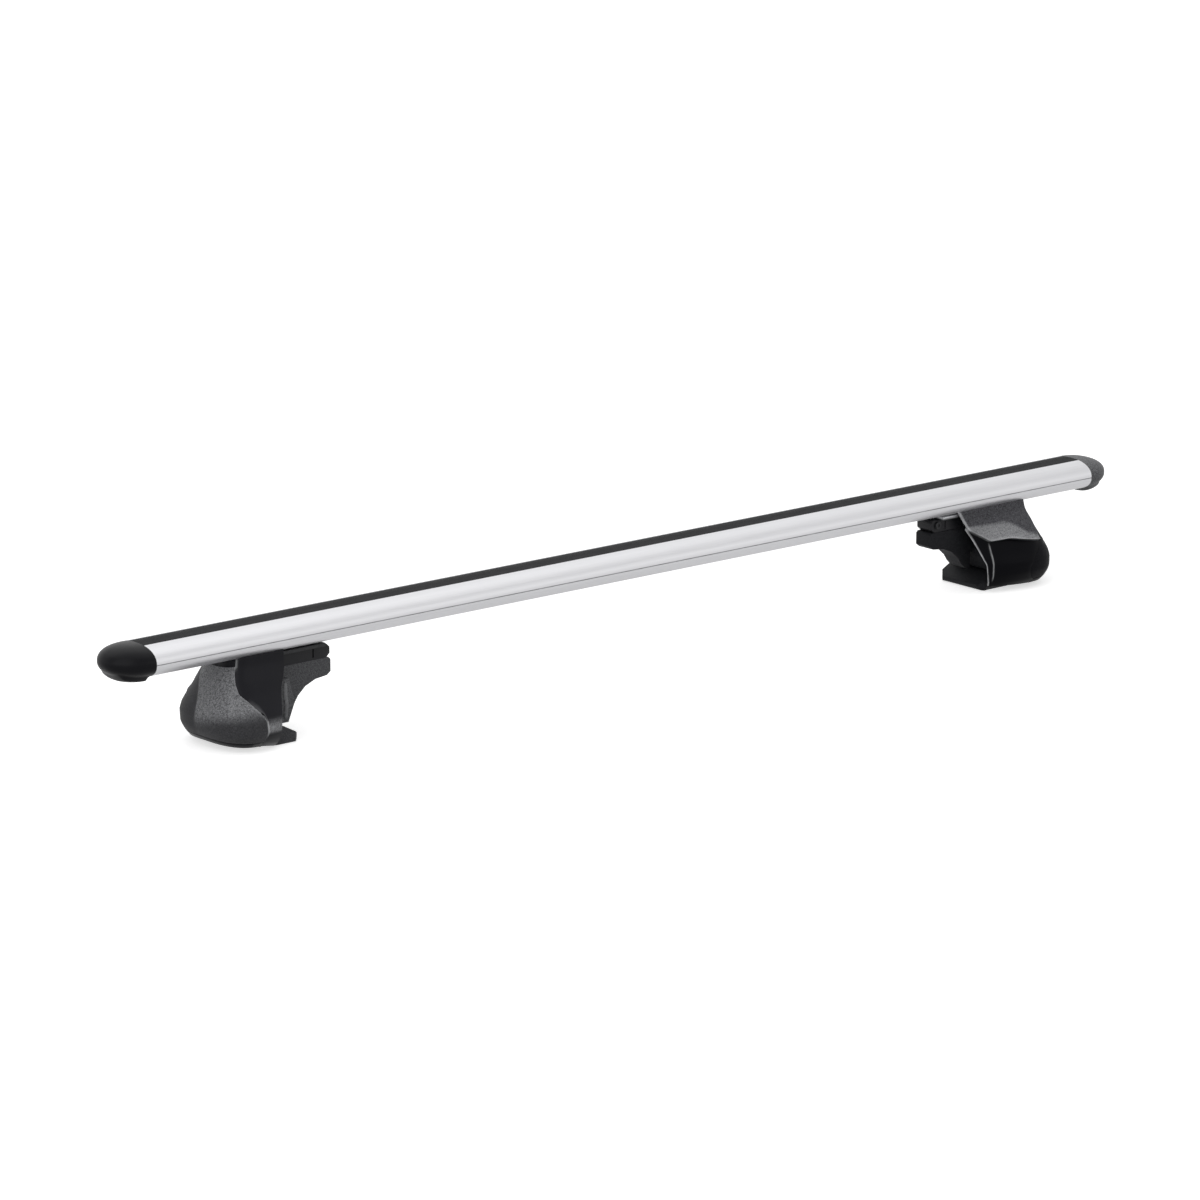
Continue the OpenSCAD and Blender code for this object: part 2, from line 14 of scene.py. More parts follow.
import bpy
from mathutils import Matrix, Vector

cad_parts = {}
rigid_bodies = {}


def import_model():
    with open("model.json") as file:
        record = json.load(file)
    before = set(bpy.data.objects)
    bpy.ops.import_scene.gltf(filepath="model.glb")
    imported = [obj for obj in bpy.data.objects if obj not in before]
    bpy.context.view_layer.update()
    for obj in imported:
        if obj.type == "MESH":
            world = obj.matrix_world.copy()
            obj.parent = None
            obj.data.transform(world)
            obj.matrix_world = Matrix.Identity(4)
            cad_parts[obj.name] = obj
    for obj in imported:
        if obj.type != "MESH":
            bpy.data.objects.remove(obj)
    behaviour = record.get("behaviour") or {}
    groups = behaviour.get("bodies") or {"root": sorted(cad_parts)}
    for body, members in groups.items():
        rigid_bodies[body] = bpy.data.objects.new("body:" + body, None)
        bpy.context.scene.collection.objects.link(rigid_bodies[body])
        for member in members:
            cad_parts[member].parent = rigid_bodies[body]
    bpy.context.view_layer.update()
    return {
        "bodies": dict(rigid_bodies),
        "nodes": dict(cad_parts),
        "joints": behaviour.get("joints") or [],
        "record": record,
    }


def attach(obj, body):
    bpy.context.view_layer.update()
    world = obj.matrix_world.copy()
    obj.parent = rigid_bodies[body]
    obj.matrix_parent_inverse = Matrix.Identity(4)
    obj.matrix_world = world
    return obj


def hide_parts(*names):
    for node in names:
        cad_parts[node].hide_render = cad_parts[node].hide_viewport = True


LOG = logging.getLogger("crossbar")
MM = 0.001
RGB = tuple[float, float, float]
Point = tuple[float, float, float]
Span = tuple[float, float]


class Side(Enum):
    """The end of the bar that a foot or cap belongs to."""

    LEFT = "left"
    RIGHT = "right"

    @property
    def inboard(self) -> int:
        """Sign of the direction from this side towards the bar's middle."""
        return self.pick(1, -1)

    @property
    def datum(self) -> float:
        """Place of the foot's datum along the bar, in millimetres."""
        return self.pick(-445.0, 455.0)

    def pick(self, left: object, right: object) -> object:
        """Gives the first value on the left side and the second on the right."""
        return left if self is Side.LEFT else right


class Curve:
    """A smooth curve through stations that never swings past them."""

    def __init__(self, stations: Iterable[tuple[float, float]]) -> None:
        """Stores the stations and works out the slope at each.

        Args:
            stations: (place, value) pairs in rising order of place.
        """
        self.stations = tuple((float(a), float(b)) for a, b in stations)
        steps = [
            (b[1] - a[1]) / (b[0] - a[0])
            for a, b in zip(self.stations, self.stations[1:])
        ]
        inner = [
            0.0 if p * q <= 0 else 2 * p * q / (p + q)
            for p, q in zip(steps, steps[1:])
        ]
        self.slopes = [steps[0], *inner, steps[-1]]

    def at(self, place: float) -> float:
        """Value of the curve at a place.

        Args:
            place: Where to read the curve; outside its ends, the end value holds.

        Returns:
            The smoothly interpolated value.
        """
        first, last = self.stations[0], self.stations[-1]
        if place <= first[0]:
            return first[1]
        if place >= last[0]:
            return last[1]
        index = max(i for i, s in enumerate(self.stations) if s[0] <= place)
        (x0, y0), (x1, y1) = self.stations[index], self.stations[index + 1]
        width = x1 - x0
        u = (place - x0) / width
        return (
            y0 * (1 + 2 * u) * (1 - u) ** 2
            + self.slopes[index] * width * u * (1 - u) ** 2
            + y1 * u * u * (3 - 2 * u)
            + self.slopes[index + 1] * width * u * u * (u - 1)
        )

    def straight(self, place: float) -> float:
        """Value with straight lines between the stations.

        Args:
            place: Where to read the curve; outside its ends, the end value holds.

        Returns:
            The value on the straight line.
        """
        first, last = self.stations[0], self.stations[-1]
        if place <= first[0]:
            return first[1]
        for (x0, y0), (x1, y1) in zip(self.stations, self.stations[1:]):
            if place <= x1:
                return y0 + (y1 - y0) * (place - x0) / (x1 - x0)
        return last[1]


def smooth_step(value: float, low: float, high: float) -> float:
    """Rises from 0 at low to 1 at high without a corner."""
    u = min(1.0, max(0.0, (value - low) / (high - low)))
    return u * u * (3 - 2 * u)


def smooth_fall(value: float, low: float, high: float) -> float:
    """Falls from 1 at low to 0 at high without a corner."""
    return 1 - smooth_step(value, low, high)


def band(value: float, rise: Span, fall: Span) -> float:
    """Rises over one span and falls again over another."""
    return smooth_step(value, *rise) * smooth_fall(value, *fall)


def within(span: Span, share: float) -> float:
    """Gives the place in a span that lies at a share of its length."""
    return span[0] + (span[1] - span[0]) * share


def shifted(span: Span, shift: float) -> Span:
    """Moves a span along."""
    return shift + span[0], shift + span[1]


# Finishes


class Pattern(Enum):
    """Surface pattern that a finish carries."""

    GRAIN = "moulded grain"
    FLECKS = "sparkling flecks"
    DRAWN = "drawn lines"
    PLATED = "plating"


@dataclass(frozen=True)
class Finish:
    """Values of one finish; lengths in metres."""

    name: str
    pattern: Pattern
    colour: RGB
    accent: RGB
    roughness: Span
    pattern_scale: float
    relief: float
    metallic: float = 0.0
    specular: float = 0.25
    dust: float = 0.0
    zone_colour: RGB | None = None
    # Colour of painted highlight on the housing's ledge and of painted shade below the
    # cover's edge.
    ledge_colour: RGB | None = None
    zone_roughness: float | None = None
    # Colour of painted highlight lines on edges, and of painted shade in the bar's groove.
    painted_highlight_and_shade_colour: RGB | None = None
    stretch: Point = (1.0, 1.0, 1.0)


class NodeBench:
    """Adds and joins shader nodes in one tree."""

    column_width = 180

    def __init__(self, tree: bpy.types.NodeTree) -> None:
        """Keeps the tree that the nodes go into."""
        self.tree = tree

    @classmethod
    def on(cls, owner: bpy.types.Material | bpy.types.World) -> "NodeBench":
        """Gives a bench on the emptied tree of a material or world.

        Args:
            owner: Material or world that takes the nodes.

        Returns:
            The bench.
        """
        owner.use_nodes = True
        owner.node_tree.nodes.clear()
        return cls(owner.node_tree)

    def add(self, kind: str, **settings: object) -> bpy.types.Node:
        """Adds a node.

        Args:
            kind: Blender's node type.
            **settings: Attributes of the node; a capitalised key is an input's value.

        Returns:
            The new node.
        """
        node = self.tree.nodes.new(kind)
        node.location = (len(self.tree.nodes) * self.column_width, 0)
        for key, value in settings.items():
            if key[0].isupper():
                node.inputs[key].default_value = value
            else:
                setattr(node, key, value)
        return node

    def join(self, out: bpy.types.NodeSocket, into: bpy.types.NodeSocket) -> None:
        """Links two sockets."""
        self.tree.links.new(out, into)

    def math(
        self,
        operation: str,
        first: bpy.types.NodeSocket,
        second: bpy.types.NodeSocket | float,
        clamp: bool = False,
    ) -> bpy.types.NodeSocket:
        """Adds a Math node on sockets or plain numbers and returns its output.

        Args:
            operation: Blender's name of the operation.
            first: First value.
            second: Second value.
            clamp: Whether the result is kept between 0 and 1.

        Returns:
            The result's socket.
        """
        node = self.add("ShaderNodeMath", operation=operation, use_clamp=clamp)
        for slot, value in zip(node.inputs, (first, second)):
            if isinstance(value, (int, float)):
                slot.default_value = value
            else:
                self.join(value, slot)
        return node.outputs[0]

    def blend(
        self,
        factor: bpy.types.NodeSocket,
        first: bpy.types.NodeSocket | RGB,
        second: bpy.types.NodeSocket | RGB,
    ) -> bpy.types.NodeSocket:
        """Mixes two colours by a factor and returns the colour socket.

        Args:
            factor: 0 for the first colour and 1 for the second.
            first: First colour, as a socket or as plain values.
            second: Second colour, given in the same ways.

        Returns:
            The colour's socket.
        """
        node = self.add("ShaderNodeMix", data_type="RGBA")
        self.join(factor, node.inputs[0])
        for slot, value in ((node.inputs[6], first), (node.inputs[7], second)):
            if isinstance(value, tuple):
                slot.default_value = (*value, 1.0)
            else:
                self.join(value, slot)
        return node.outputs[2]

    def mix(self, *parts: bpy.types.NodeSocket) -> bpy.types.NodeSocket:
        """Mixes two shaders, given after the factor, and returns the result.

        Args:
            *parts: The factor and the two shaders, in that order.

        Returns:
            The shader's socket.
        """
        node = self.add("ShaderNodeMixShader")
        for value, slot in zip(parts, node.inputs):
            self.join(value, slot)
        return node.outputs[0]

    def spread(
        self, value: bpy.types.NodeSocket, source: Span, target: Span
    ) -> bpy.types.NodeSocket:
        """Maps a value's range onto another one.

        Args:
            value: Socket to map.
            source: (low, high) of the incoming range.
            target: (low, high) of the outgoing range.

        Returns:
            The mapped socket.
        """
        node = self.add("ShaderNodeMapRange", clamp=True)
        self.join(value, node.inputs[0])
        for index, number in enumerate((*source, *target), start=1):
            node.inputs[index].default_value = number
        return node.outputs[0]


class GroupBench(NodeBench):
    """A bench on a new node group that has its sockets."""

    def __init__(
        self, name: str, outputs: tuple[str, ...], **inputs: float | None
    ) -> None:
        """Makes a group with its input and output nodes.

        Args:
            name: The group's name.
            outputs: Names of the float outputs.
            **inputs: Default values of the float inputs; None makes a vector input.
        """
        super().__init__(bpy.data.node_groups.new(name, "ShaderNodeTree"))
        for label, value in inputs.items():
            kind = "NodeSocketVector" if value is None else "NodeSocketFloat"
            socket = self.tree.interface.new_socket(
                name=label, in_out="INPUT", socket_type=kind
            )
            if value is not None:
                socket.default_value = value
        for label in outputs:
            self.tree.interface.new_socket(
                name=label, in_out="OUTPUT", socket_type="NodeSocketFloat"
            )
        self.entry = self.add("NodeGroupInput").outputs
        self.leave = self.add("NodeGroupOutput").inputs

    def texture(
        self, kind: str, share: float | None = None, **settings: object
    ) -> bpy.types.NodeSocket:
        """Adds a texture on the group's coordinates.

        Args:
            kind: "Noise" or "Voronoi".
            share: Its scale as a share of the group's own, if it follows that.
            **settings: Attributes and input values, as in add.

        Returns:
            The texture's value.
        """
        node = self.add(f"ShaderNodeTex{kind}", **settings)
        self.join(self.entry["Vector"], node.inputs["Vector"])
        if share is not None:
            scale = self.math("MULTIPLY", self.entry["Scale"], share)
            self.join(scale, node.inputs["Scale"])
        return node.outputs["Fac" if kind == "Noise" else "Distance"]

    def scaled_sum(
        self, *terms: tuple[bpy.types.NodeSocket, float]
    ) -> bpy.types.NodeSocket:
        """Adds two sockets, each times its own number."""
        return self.math("ADD", *(self.math("MULTIPLY", *term) for term in terms))

    def give(self, **results: bpy.types.NodeSocket) -> bpy.types.NodeTree:
        """Joins the group's outputs by name and returns its tree.

        Args:
            **results: Socket for each of the group's outputs.

        Returns:
            The group's tree.
        """
        for label, value in results.items():
            self.join(value, self.leave[label])
        return self.tree


class EffectGroups:
    """Builds each shared surface effect once, as a shader node group."""

    def __init__(self) -> None:
        """Starts with no group built."""
        self.built: dict[str, bpy.types.NodeTree] = {}
        self.makers: dict[str, Callable[[str], bpy.types.NodeTree]] = {
            Pattern.GRAIN.value: self.moulded_grain,
            Pattern.FLECKS.value: self.flecks,
            Pattern.DRAWN.value: self.drawn_lines,
            Pattern.PLATED.value: self.plating,
            "settled dust": self.settled_dust,
            "worn edge": self.worn_edge,
        }

    def get(self, name: str) -> bpy.types.NodeTree:
        """Gives a group by name, building it at first use.

        Args:
            name: Name of the effect.

        Returns:
            The group's tree.
        """
        if name not in self.built:
            self.built[name] = self.makers[name](name)
        return self.built[name]

    @staticmethod
    def pattern(name: str) -> GroupBench:
        """Starts the group of a surface pattern."""
        return GroupBench(name, ("Mask", "Height"), Vector=None, Scale=900.0)

    def moulded_grain(self, name: str) -> bpy.types.NodeTree:
        """Leathery grain of a moulding tool: small cells over soft unevenness.

        Args:
            name: Name of the new group.

        Returns:
            The group's tree.
        """
        bench = self.pattern(name)
        cells = bench.texture("Voronoi", 1.0, feature="SMOOTH_F1", Smoothness=0.6)
        soft = bench.texture("Noise", 0.035, Detail=3.0)
        fine = bench.texture("Noise", 1.0, Detail=2.0)
        height = bench.scaled_sum((cells, 0.7), (fine, 0.5))
        mask = bench.math(
            "ADD",
            bench.spread(height, (0.25, 0.85), (0.0, 0.7)),
            bench.spread(soft, (0.3, 0.7), (0.0, 0.3)),
            clamp=True,
        )
        return bench.give(Mask=mask, Height=height)

    def flecks(self, name: str) -> bpy.types.NodeTree:
        """Coarse blasted grain with bright flecks between dark pits.

        Args:
            name: Name of the new group.

        Returns:
            The group's tree.
        """
        bench = self.pattern(name)
        fine = bench.texture("Noise", 1.0, Detail=4.0, Roughness=0.75)
        coarse = bench.texture("Noise", 0.45, Detail=2.0)
        pits = bench.texture("Voronoi", 0.8)
        mixed = bench.scaled_sum((fine, 0.75), (coarse, 0.25))
        mask = bench.spread(mixed, (0.38, 0.66), (0.0, 1.0))
        height = bench.scaled_sum((mixed, 1.0), (pits, 0.35))
        return bench.give(Mask=mask, Height=height)

    def drawn_lines(self, name: str) -> bpy.types.NodeTree:
        """Fine lines that run along the bar, as a drawn extrusion has.

        Args:
            name: Name of the new group.

        Returns:
            The group's tree.
        """
        bench = self.pattern(name)
        lines = bench.texture("Noise", 1.0, Detail=3.0)
        cloud = bench.texture("Noise", 0.03, Detail=2.0)
        mask = bench.math(
            "ADD",
            bench.spread(lines, (0.3, 0.7), (0.0, 0.6)),
            bench.spread(cloud, (0.3, 0.7), (0.0, 0.4)),
            clamp=True,
        )
        return bench.give(Mask=mask, Height=lines)

    def plating(self, name: str) -> bpy.types.NodeTree:
        """Uneven plating on steel: soft patches under fine scratches.

        Args:
            name: Name of the new group.

        Returns:
            The group's tree.
        """
        bench = self.pattern(name)
        patches = bench.texture("Voronoi", 0.4, feature="SMOOTH_F1")
        scratches = bench.texture("Noise", 1.0, Detail=5.0)
        mask = bench.math(
            "ADD",
            bench.math("MULTIPLY", patches, 0.5),
            bench.spread(scratches, (0.35, 0.65), (0.0, 0.6)),
            clamp=True,
        )
        return bench.give(Mask=mask, Height=scratches)

    @staticmethod
    def settled_dust(name: str) -> bpy.types.NodeTree:
        """Thin dust on faces that look up, broken by noise.

        Args:
            name: Name of the new group.

        Returns:
            The group's tree.
        """
        bench = GroupBench(name, ("Mask",), Vector=None, Normal=None, Amount=0.1)
        parts = bench.add("ShaderNodeSeparateXYZ")
        bench.join(bench.entry["Normal"], parts.inputs[0])
        cloud = bench.texture("Noise", Scale=60.0, Detail=6.0)
        up = bench.spread(parts.outputs["Z"], (0.1, 0.95), (0.0, 1.0))
        broken = bench.spread(cloud, (0.3, 0.7), (0.35, 1.0))
        thick = bench.math("MULTIPLY", up, broken)
        return bench.give(Mask=bench.math("MULTIPLY", thick, bench.entry["Amount"]))

    @staticmethod
    def worn_edge(name: str) -> bpy.types.NodeTree:
        """Turns the piece's own edge value into an uneven painted line: painted highlights
        along edges and painted shade in the bar's groove.

        Args:
            name: Name of the new group.

        Returns:
            The group's tree.
        """
        bench = GroupBench(name, ("Mask",), Vector=None, Edge=0.0)
        cloud = bench.texture("Noise", Scale=160.0, Detail=4.0)
        broken = bench.spread(cloud, (0.35, 0.6), (0.7, 1.0))
        mask = bench.math("MULTIPLY", bench.entry["Edge"], broken, clamp=True)
        return bench.give(Mask=mask)


class FinishShop:
    """Makes one material for each finish."""

    fleck_scale = 1200.0
    zone_contrast = (0.4, 2.2)
    ledge_contrast = (0.5, 2.0)
    dust_colour: RGB = (0.42, 0.41, 0.39)

    def __init__(self) -> None:
        """Starts with no material made."""
        self.groups = EffectGroups()
        self.made: dict[str, bpy.types.Material] = {}

    def effect(
        self, bench: NodeBench, name: str, vector: bpy.types.NodeSocket, **values: float
    ) -> bpy.types.Node:
        """Places a shared effect in a material and feeds it coordinates.

        Args:
            bench: Bench on the material.
            name: Name of the effect.
            vector: Coordinates that the effect reads.
            **values: Input values of the effect.

        Returns:
            The effect's node.
        """
        node = bench.add("ShaderNodeGroup", node_tree=self.groups.get(name), **values)
        bench.join(vector, node.inputs["Vector"])
        return node

    def zones(
        self,
        bench: NodeBench,
        finish: Finish,
        vector: bpy.types.NodeSocket,
        colour: bpy.types.NodeSocket,
        rough: bpy.types.NodeSocket,
    ) -> tuple[bpy.types.NodeSocket, bpy.types.NodeSocket]:
        """Lays the painted zone and the painted highlights and shade over a finish.

        Args:
            bench: Bench on the material.
            finish: The values of the finish.
            vector: Object coordinates.
            colour: Colour so far.
            rough: Roughness so far.

        Returns:
            The new colour and roughness.
        """
        grain = self.effect(
            bench, Pattern.FLECKS.value, vector, Scale=self.fleck_scale
        )
        zone, ledge = (
            bench.add("ShaderNodeAttribute", attribute_name=name).outputs["Fac"]
            for name in ("zone", "ledge")
        )
        for area, shade, contrast in (
            (zone, finish.zone_colour, self.zone_contrast),
            (ledge, finish.ledge_colour, self.ledge_contrast),
        ):
            dark, light = (tuple(k * c for c in shade) for k in contrast)
            fine = bench.blend(grain.outputs["Mask"], dark, light)
            colour = bench.blend(area, colour, fine)
        change = finish.zone_roughness - finish.roughness[0]
        change = bench.math("MULTIPLY", zone, change)
        return colour, bench.math("ADD", rough, change, clamp=True)

    def get(self, finish: Finish) -> bpy.types.Material:
        """Gives the material of a finish.

        Args:
            finish: The values of the finish.

        Returns:
            Its material, made at first use.
        """
        if finish.name in self.made:
            return self.made[finish.name]
        material = bpy.data.materials.new(finish.name)
        bench = NodeBench.on(material)
        place = bench.add("ShaderNodeTexCoord").outputs
        mapping = bench.add("ShaderNodeMapping", Scale=finish.stretch)
        bench.join(place["Object"], mapping.inputs["Vector"])
        pattern = self.effect(
            bench, finish.pattern.value, mapping.outputs["Vector"],
            Scale=finish.pattern_scale,
        ).outputs
        colour = bench.blend(pattern["Mask"], finish.colour, finish.accent)
        rough = bench.spread(pattern["Mask"], (0.0, 1.0), finish.roughness)
        if finish.zone_colour is not None:
            colour, rough = self.zones(bench, finish, place["Object"], colour, rough)
        # Painted highlights along edges, and painted shade in the bar's groove.
        if finish.painted_highlight_and_shade_colour is not None:
            edge = bench.add("ShaderNodeAttribute", attribute_name="edge")
            painted_edge = self.effect(bench, "worn edge", place["Object"])
            bench.join(edge.outputs["Fac"], painted_edge.inputs["Edge"])
            colour = bench.blend(painted_edge.outputs["Mask"], colour, finish.painted_highlight_and_shade_colour)
        if finish.dust > 0:
            dust = self.effect(
                bench, "settled dust", place["Object"], Amount=finish.dust
            )
            bench.join(place["Normal"], dust.inputs["Normal"])
            colour = bench.blend(dust.outputs["Mask"], colour, self.dust_colour)
        shader = bench.add("ShaderNodeBsdfPrincipled", Metallic=finish.metallic)
        shader.inputs["Specular IOR Level"].default_value = finish.specular
        bump = bench.add("ShaderNodeBump", Strength=1.0, Distance=finish.relief)
        out = bench.add("ShaderNodeOutputMaterial")
        for source, target in (
            (colour, shader.inputs["Base Color"]),
            (rough, shader.inputs["Roughness"]),
            (pattern["Height"], bump.inputs["Height"]),
            (bump.outputs["Normal"], shader.inputs["Normal"]),
            (shader.outputs["BSDF"], out.inputs["Surface"]),
        ):
            bench.join(source, target)
        self.made[finish.name] = material
        return material


class Finishes:
    """Every finish on the crossbar."""

    # The bar's edge colour is painted shade in its groove.
    BAR = Finish(
        "drawn_alloy", Pattern.DRAWN, (0.74, 0.74, 0.76), (0.82, 0.82, 0.84),
        (0.36, 0.48), 1500.0, 0.00002, metallic=0.85, specular=0.4,
        painted_highlight_and_shade_colour=(0.20, 0.20, 0.21), stretch=(0.012, 1.0, 1.0),
    )
    STRIP = Finish(
        "strip_rubber", Pattern.GRAIN, (0.009, 0.009, 0.011), (0.018, 0.019, 0.021),
        (0.55, 0.72), 1100.0, 0.00006, specular=0.12, dust=0.02,
    )
    # One cap moulding in two copies: the left darker for painted shade, the right lighter
    # for painted light.
    CAP_LEFT_PAINTED_SHADE = Finish(
        "cap_plastic", Pattern.GRAIN, (0.0040, 0.0040, 0.0056),
        (0.006, 0.006, 0.0080), (0.28, 0.38), 1500.0, 0.00003, specular=0.12,
    )
    CAP_RIGHT_PAINTED_LIGHT = Finish(
        "cap_plastic_grained_painted_light", Pattern.FLECKS, (0.030, 0.031, 0.034),
        (0.260, 0.264, 0.275), (0.45, 0.60), 1000.0, 0.00012, dust=0.02,
    )
    # The ledge colour is a painted highlight on the up-facing shoulder; the edge colour
    # paints highlight lines.
    HOUSING_LEFT = Finish(
        "housing_plastic", Pattern.GRAIN, (0.0085, 0.0085, 0.0115),
        (0.012, 0.012, 0.0160), (0.28, 0.38), 1600.0, 0.00003, specular=0.14,
        zone_colour=(0.060, 0.061, 0.066), zone_roughness=0.55,
        ledge_colour=(0.27, 0.272, 0.282), painted_highlight_and_shade_colour=(0.86, 0.87, 0.89),
    )
    # The right foot's housing is a darker copy for painted shade, with its grained zone
    # lighter for painted light.
    HOUSING_RIGHT_PAINTED_LIGHT_AND_SHADE = replace(
        HOUSING_LEFT, name="housing_plastic_painted_light_and_shade", colour=(0.0020, 0.0020, 0.0034),
        accent=(0.0034, 0.0034, 0.0050), specular=0.06,
        zone_colour=(0.090, 0.090, 0.098),
    )
    # The zone colour also paints shade under the cover, the ledge colour is painted shade
    # below side B's edge, and the edge colour a painted seam highlight.
    COVER_LEFT = Finish(
        "cover_plastic", Pattern.FLECKS, (0.050, 0.051, 0.055),
        (0.420, 0.424, 0.440), (0.46, 0.60), 1050.0, 0.00014,
        zone_colour=(0.015, 0.015, 0.018), zone_roughness=0.45,
        ledge_colour=(0.0055, 0.0055, 0.0072), painted_highlight_and_shade_colour=(0.70, 0.71, 0.73),
    )
    # The right foot's cover is a darker copy: painted shade.
    COVER_RIGHT = replace(
        COVER_LEFT, name="cover_plastic_painted_shade", specular=0.08,
        zone_colour=(0.0060, 0.0060, 0.0080), ledge_colour=(0.0020, 0.0020, 0.0034),
    )
    # The edge colour is a painted highlight on the pad's bead.
    PAD_LEFT = Finish(
        "pad_rubber", Pattern.FLECKS, (0.030, 0.031, 0.034), (0.190, 0.193, 0.202),
        (0.50, 0.66), 1100.0, 0.00012, painted_highlight_and_shade_colour=(0.26, 0.262, 0.27),
    )
    # The right foot's pad is a darker copy: painted shade.
    PAD_RIGHT_PAINTED_SHADE = Finish(
        "pad_rubber_painted_shade", Pattern.FLECKS, (0.007, 0.007, 0.009),
        (0.030, 0.031, 0.034), (0.50, 0.66), 1000.0, 0.00012, specular=0.12,
        painted_highlight_and_shade_colour=(0.05, 0.05, 0.055),
    )
    TOE = Finish(
        "toe_rubber", Pattern.FLECKS, (0.012, 0.012, 0.014), (0.110, 0.112, 0.120),
        (0.50, 0.66), 1000.0, 0.00010,
    )
    NOSE = Finish(
        "nose_plastic", Pattern.GRAIN, (0.009, 0.009, 0.011), (0.020, 0.020, 0.023),
        (0.34, 0.48), 1500.0, 0.00005,
    )
    KNOB = Finish(
        "knob_plastic", Pattern.GRAIN, (0.010, 0.010, 0.012), (0.022, 0.022, 0.025),
        (0.40, 0.55), 1500.0, 0.00005,
    )
    # The edge colour is a painted highlight along the bracket flange's cut edge.
    DARK_STEEL = Finish(
        "coated_steel", Pattern.PLATED, (0.020, 0.020, 0.022), (0.045, 0.046, 0.049),
        (0.36, 0.50), 600.0, 0.00003, metallic=0.5, specular=0.4,
        painted_highlight_and_shade_colour=(0.80, 0.81, 0.83),
    )
    ZINC = Finish(
        "zinc_steel", Pattern.PLATED, (0.46, 0.47, 0.48), (0.62, 0.63, 0.64),
        (0.28, 0.45), 700.0, 0.00003, metallic=1.0, specular=0.5,
    )


# Modelling bench


class MeshBench:
    """Modelling steps shared by every piece, done with Blender's own operators."""

    @staticmethod
    def only(obj: bpy.types.Object) -> bpy.types.Object:
        """Makes one object the selected and active one.

        Args:
            obj: Object to select.

        Returns:
            The same object.
        """
        if bpy.context.object is not None and bpy.context.object.mode != "OBJECT":
            bpy.ops.object.mode_set(mode="OBJECT")
        for other in list(bpy.context.selected_objects):
            other.select_set(False)
        obj.select_set(True)
        bpy.context.view_layer.objects.active = obj
        return obj

    @classmethod
    def edit(cls, obj: bpy.types.Object, *steps: Callable[[], object]) -> None:
        """Runs edit-mode steps on the whole of one mesh.

        Args:
            obj: Piece whose mesh is edited.
            *steps: Calls to make in edit mode, in order.
        """
        cls.only(obj)
        bpy.ops.object.mode_set(mode="EDIT")
        bpy.ops.mesh.select_all(action="SELECT")
        for step in steps:
            step()
        bpy.ops.object.mode_set(mode="OBJECT")

    @classmethod
    def copy_node(cls, frame: dict, node: str, name: str) -> bpy.types.Object:
        """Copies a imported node's mesh as a new piece with its corners merged.

        Args:
            node: Name of the node.
            name: Name of the new piece.

        Returns:
            The new object, at the origin.
        """
        mesh = frame["nodes"][node].data.copy()
        mesh.materials.clear()
        obj = bpy.data.objects.new(name, mesh)
        mesh.name = name
        bpy.context.scene.collection.objects.link(obj)
        cls.only(obj)
        if mesh.has_custom_normals:
            bpy.ops.mesh.customdata_custom_splitnormals_clear()
        cls.edit(
            obj,
            lambda: bpy.ops.mesh.remove_doubles(threshold=2e-6),
            lambda: bpy.ops.mesh.dissolve_limited(angle_limit=math.radians(0.4)),
        )
        return obj

    @classmethod
    def sheet(
        cls,
        name: str,
        columns: int,
        rows: int,
        shape: Callable[[int, int], Point],
    ) -> bpy.types.Object:
        """Adds a grid and draws it out into a shaped sheet.

        Args:
            name: Name of the piece.
            columns: Faces along the sheet.
            rows: Faces across the sheet.
            shape: Place in millimetres of a corner from its column and row number.

        Returns:
            The shaped sheet.
        """
        bpy.ops.mesh.primitive_grid_add(
            x_subdivisions=columns, y_subdivisions=rows, size=2.0
        )
        obj = bpy.context.object
        obj.name = obj.data.name = name
        for vertex in obj.data.vertices:
            column = round((vertex.co.x + 1) / 2 * columns)
            row = round((vertex.co.y + 1) / 2 * rows)
            vertex.co = Vector(shape(column, row)) * MM
        return obj

    @classmethod
    def apply(cls, obj: bpy.types.Object, kind: str, **settings: object) -> None:
        """Adds a modifier and applies it.

        Args:
            obj: Piece that takes the modifier.
            kind: Blender's modifier type.
            **settings: Attributes of the modifier.
        """
        cls.only(obj)
        modifier = obj.modifiers.new(kind.lower(), kind)
        for key, value in settings.items():
            setattr(modifier, key, value)
        bpy.ops.object.modifier_apply(modifier=modifier.name)

    @classmethod
    def round_edges(
        cls, obj: bpy.types.Object, width: float, segments: int = 3, angle: float = 35
    ) -> None:
        """Bevels the sharp edges of a piece.

        Args:
            obj: Piece to bevel.
            width: Width of the bevel in millimetres.
            segments: Faces across the bevel.
            angle: Sharpest angle in degrees that stays unbevelled.
        """
        cls.apply(
            obj, "BEVEL", width=width * MM, segments=segments,
            limit_method="ANGLE", angle_limit=math.radians(angle),
        )

    @classmethod
    def round_long_edges(cls, obj: bpy.types.Object, width: float) -> None:
        """Bevels a piece's long sharp edges and leaves its small holes alone.

        Args:
            obj: Piece to bevel.
            width: Width of the bevel in millimetres.
        """
        shortest = 3.0 * MM
        cls.only(obj)
        bpy.ops.object.mode_set(mode="EDIT")
        bpy.ops.mesh.select_mode(type="EDGE")
        bpy.ops.mesh.select_all(action="DESELECT")
        bpy.ops.mesh.edges_select_sharp(sharpness=math.radians(30))
        bpy.ops.object.mode_set(mode="OBJECT")
        corners = obj.data.vertices
        for edge in obj.data.edges:
            a, b = (corners[i].co for i in edge.vertices)
            edge.select = edge.select and (a - b).length > shortest
        bpy.ops.object.mode_set(mode="EDIT")
        bpy.ops.mesh.bevel(offset=width * MM, segments=4, clamp_overlap=True)
        bpy.ops.mesh.select_mode(type="VERT")
        bpy.ops.object.mode_set(mode="OBJECT")

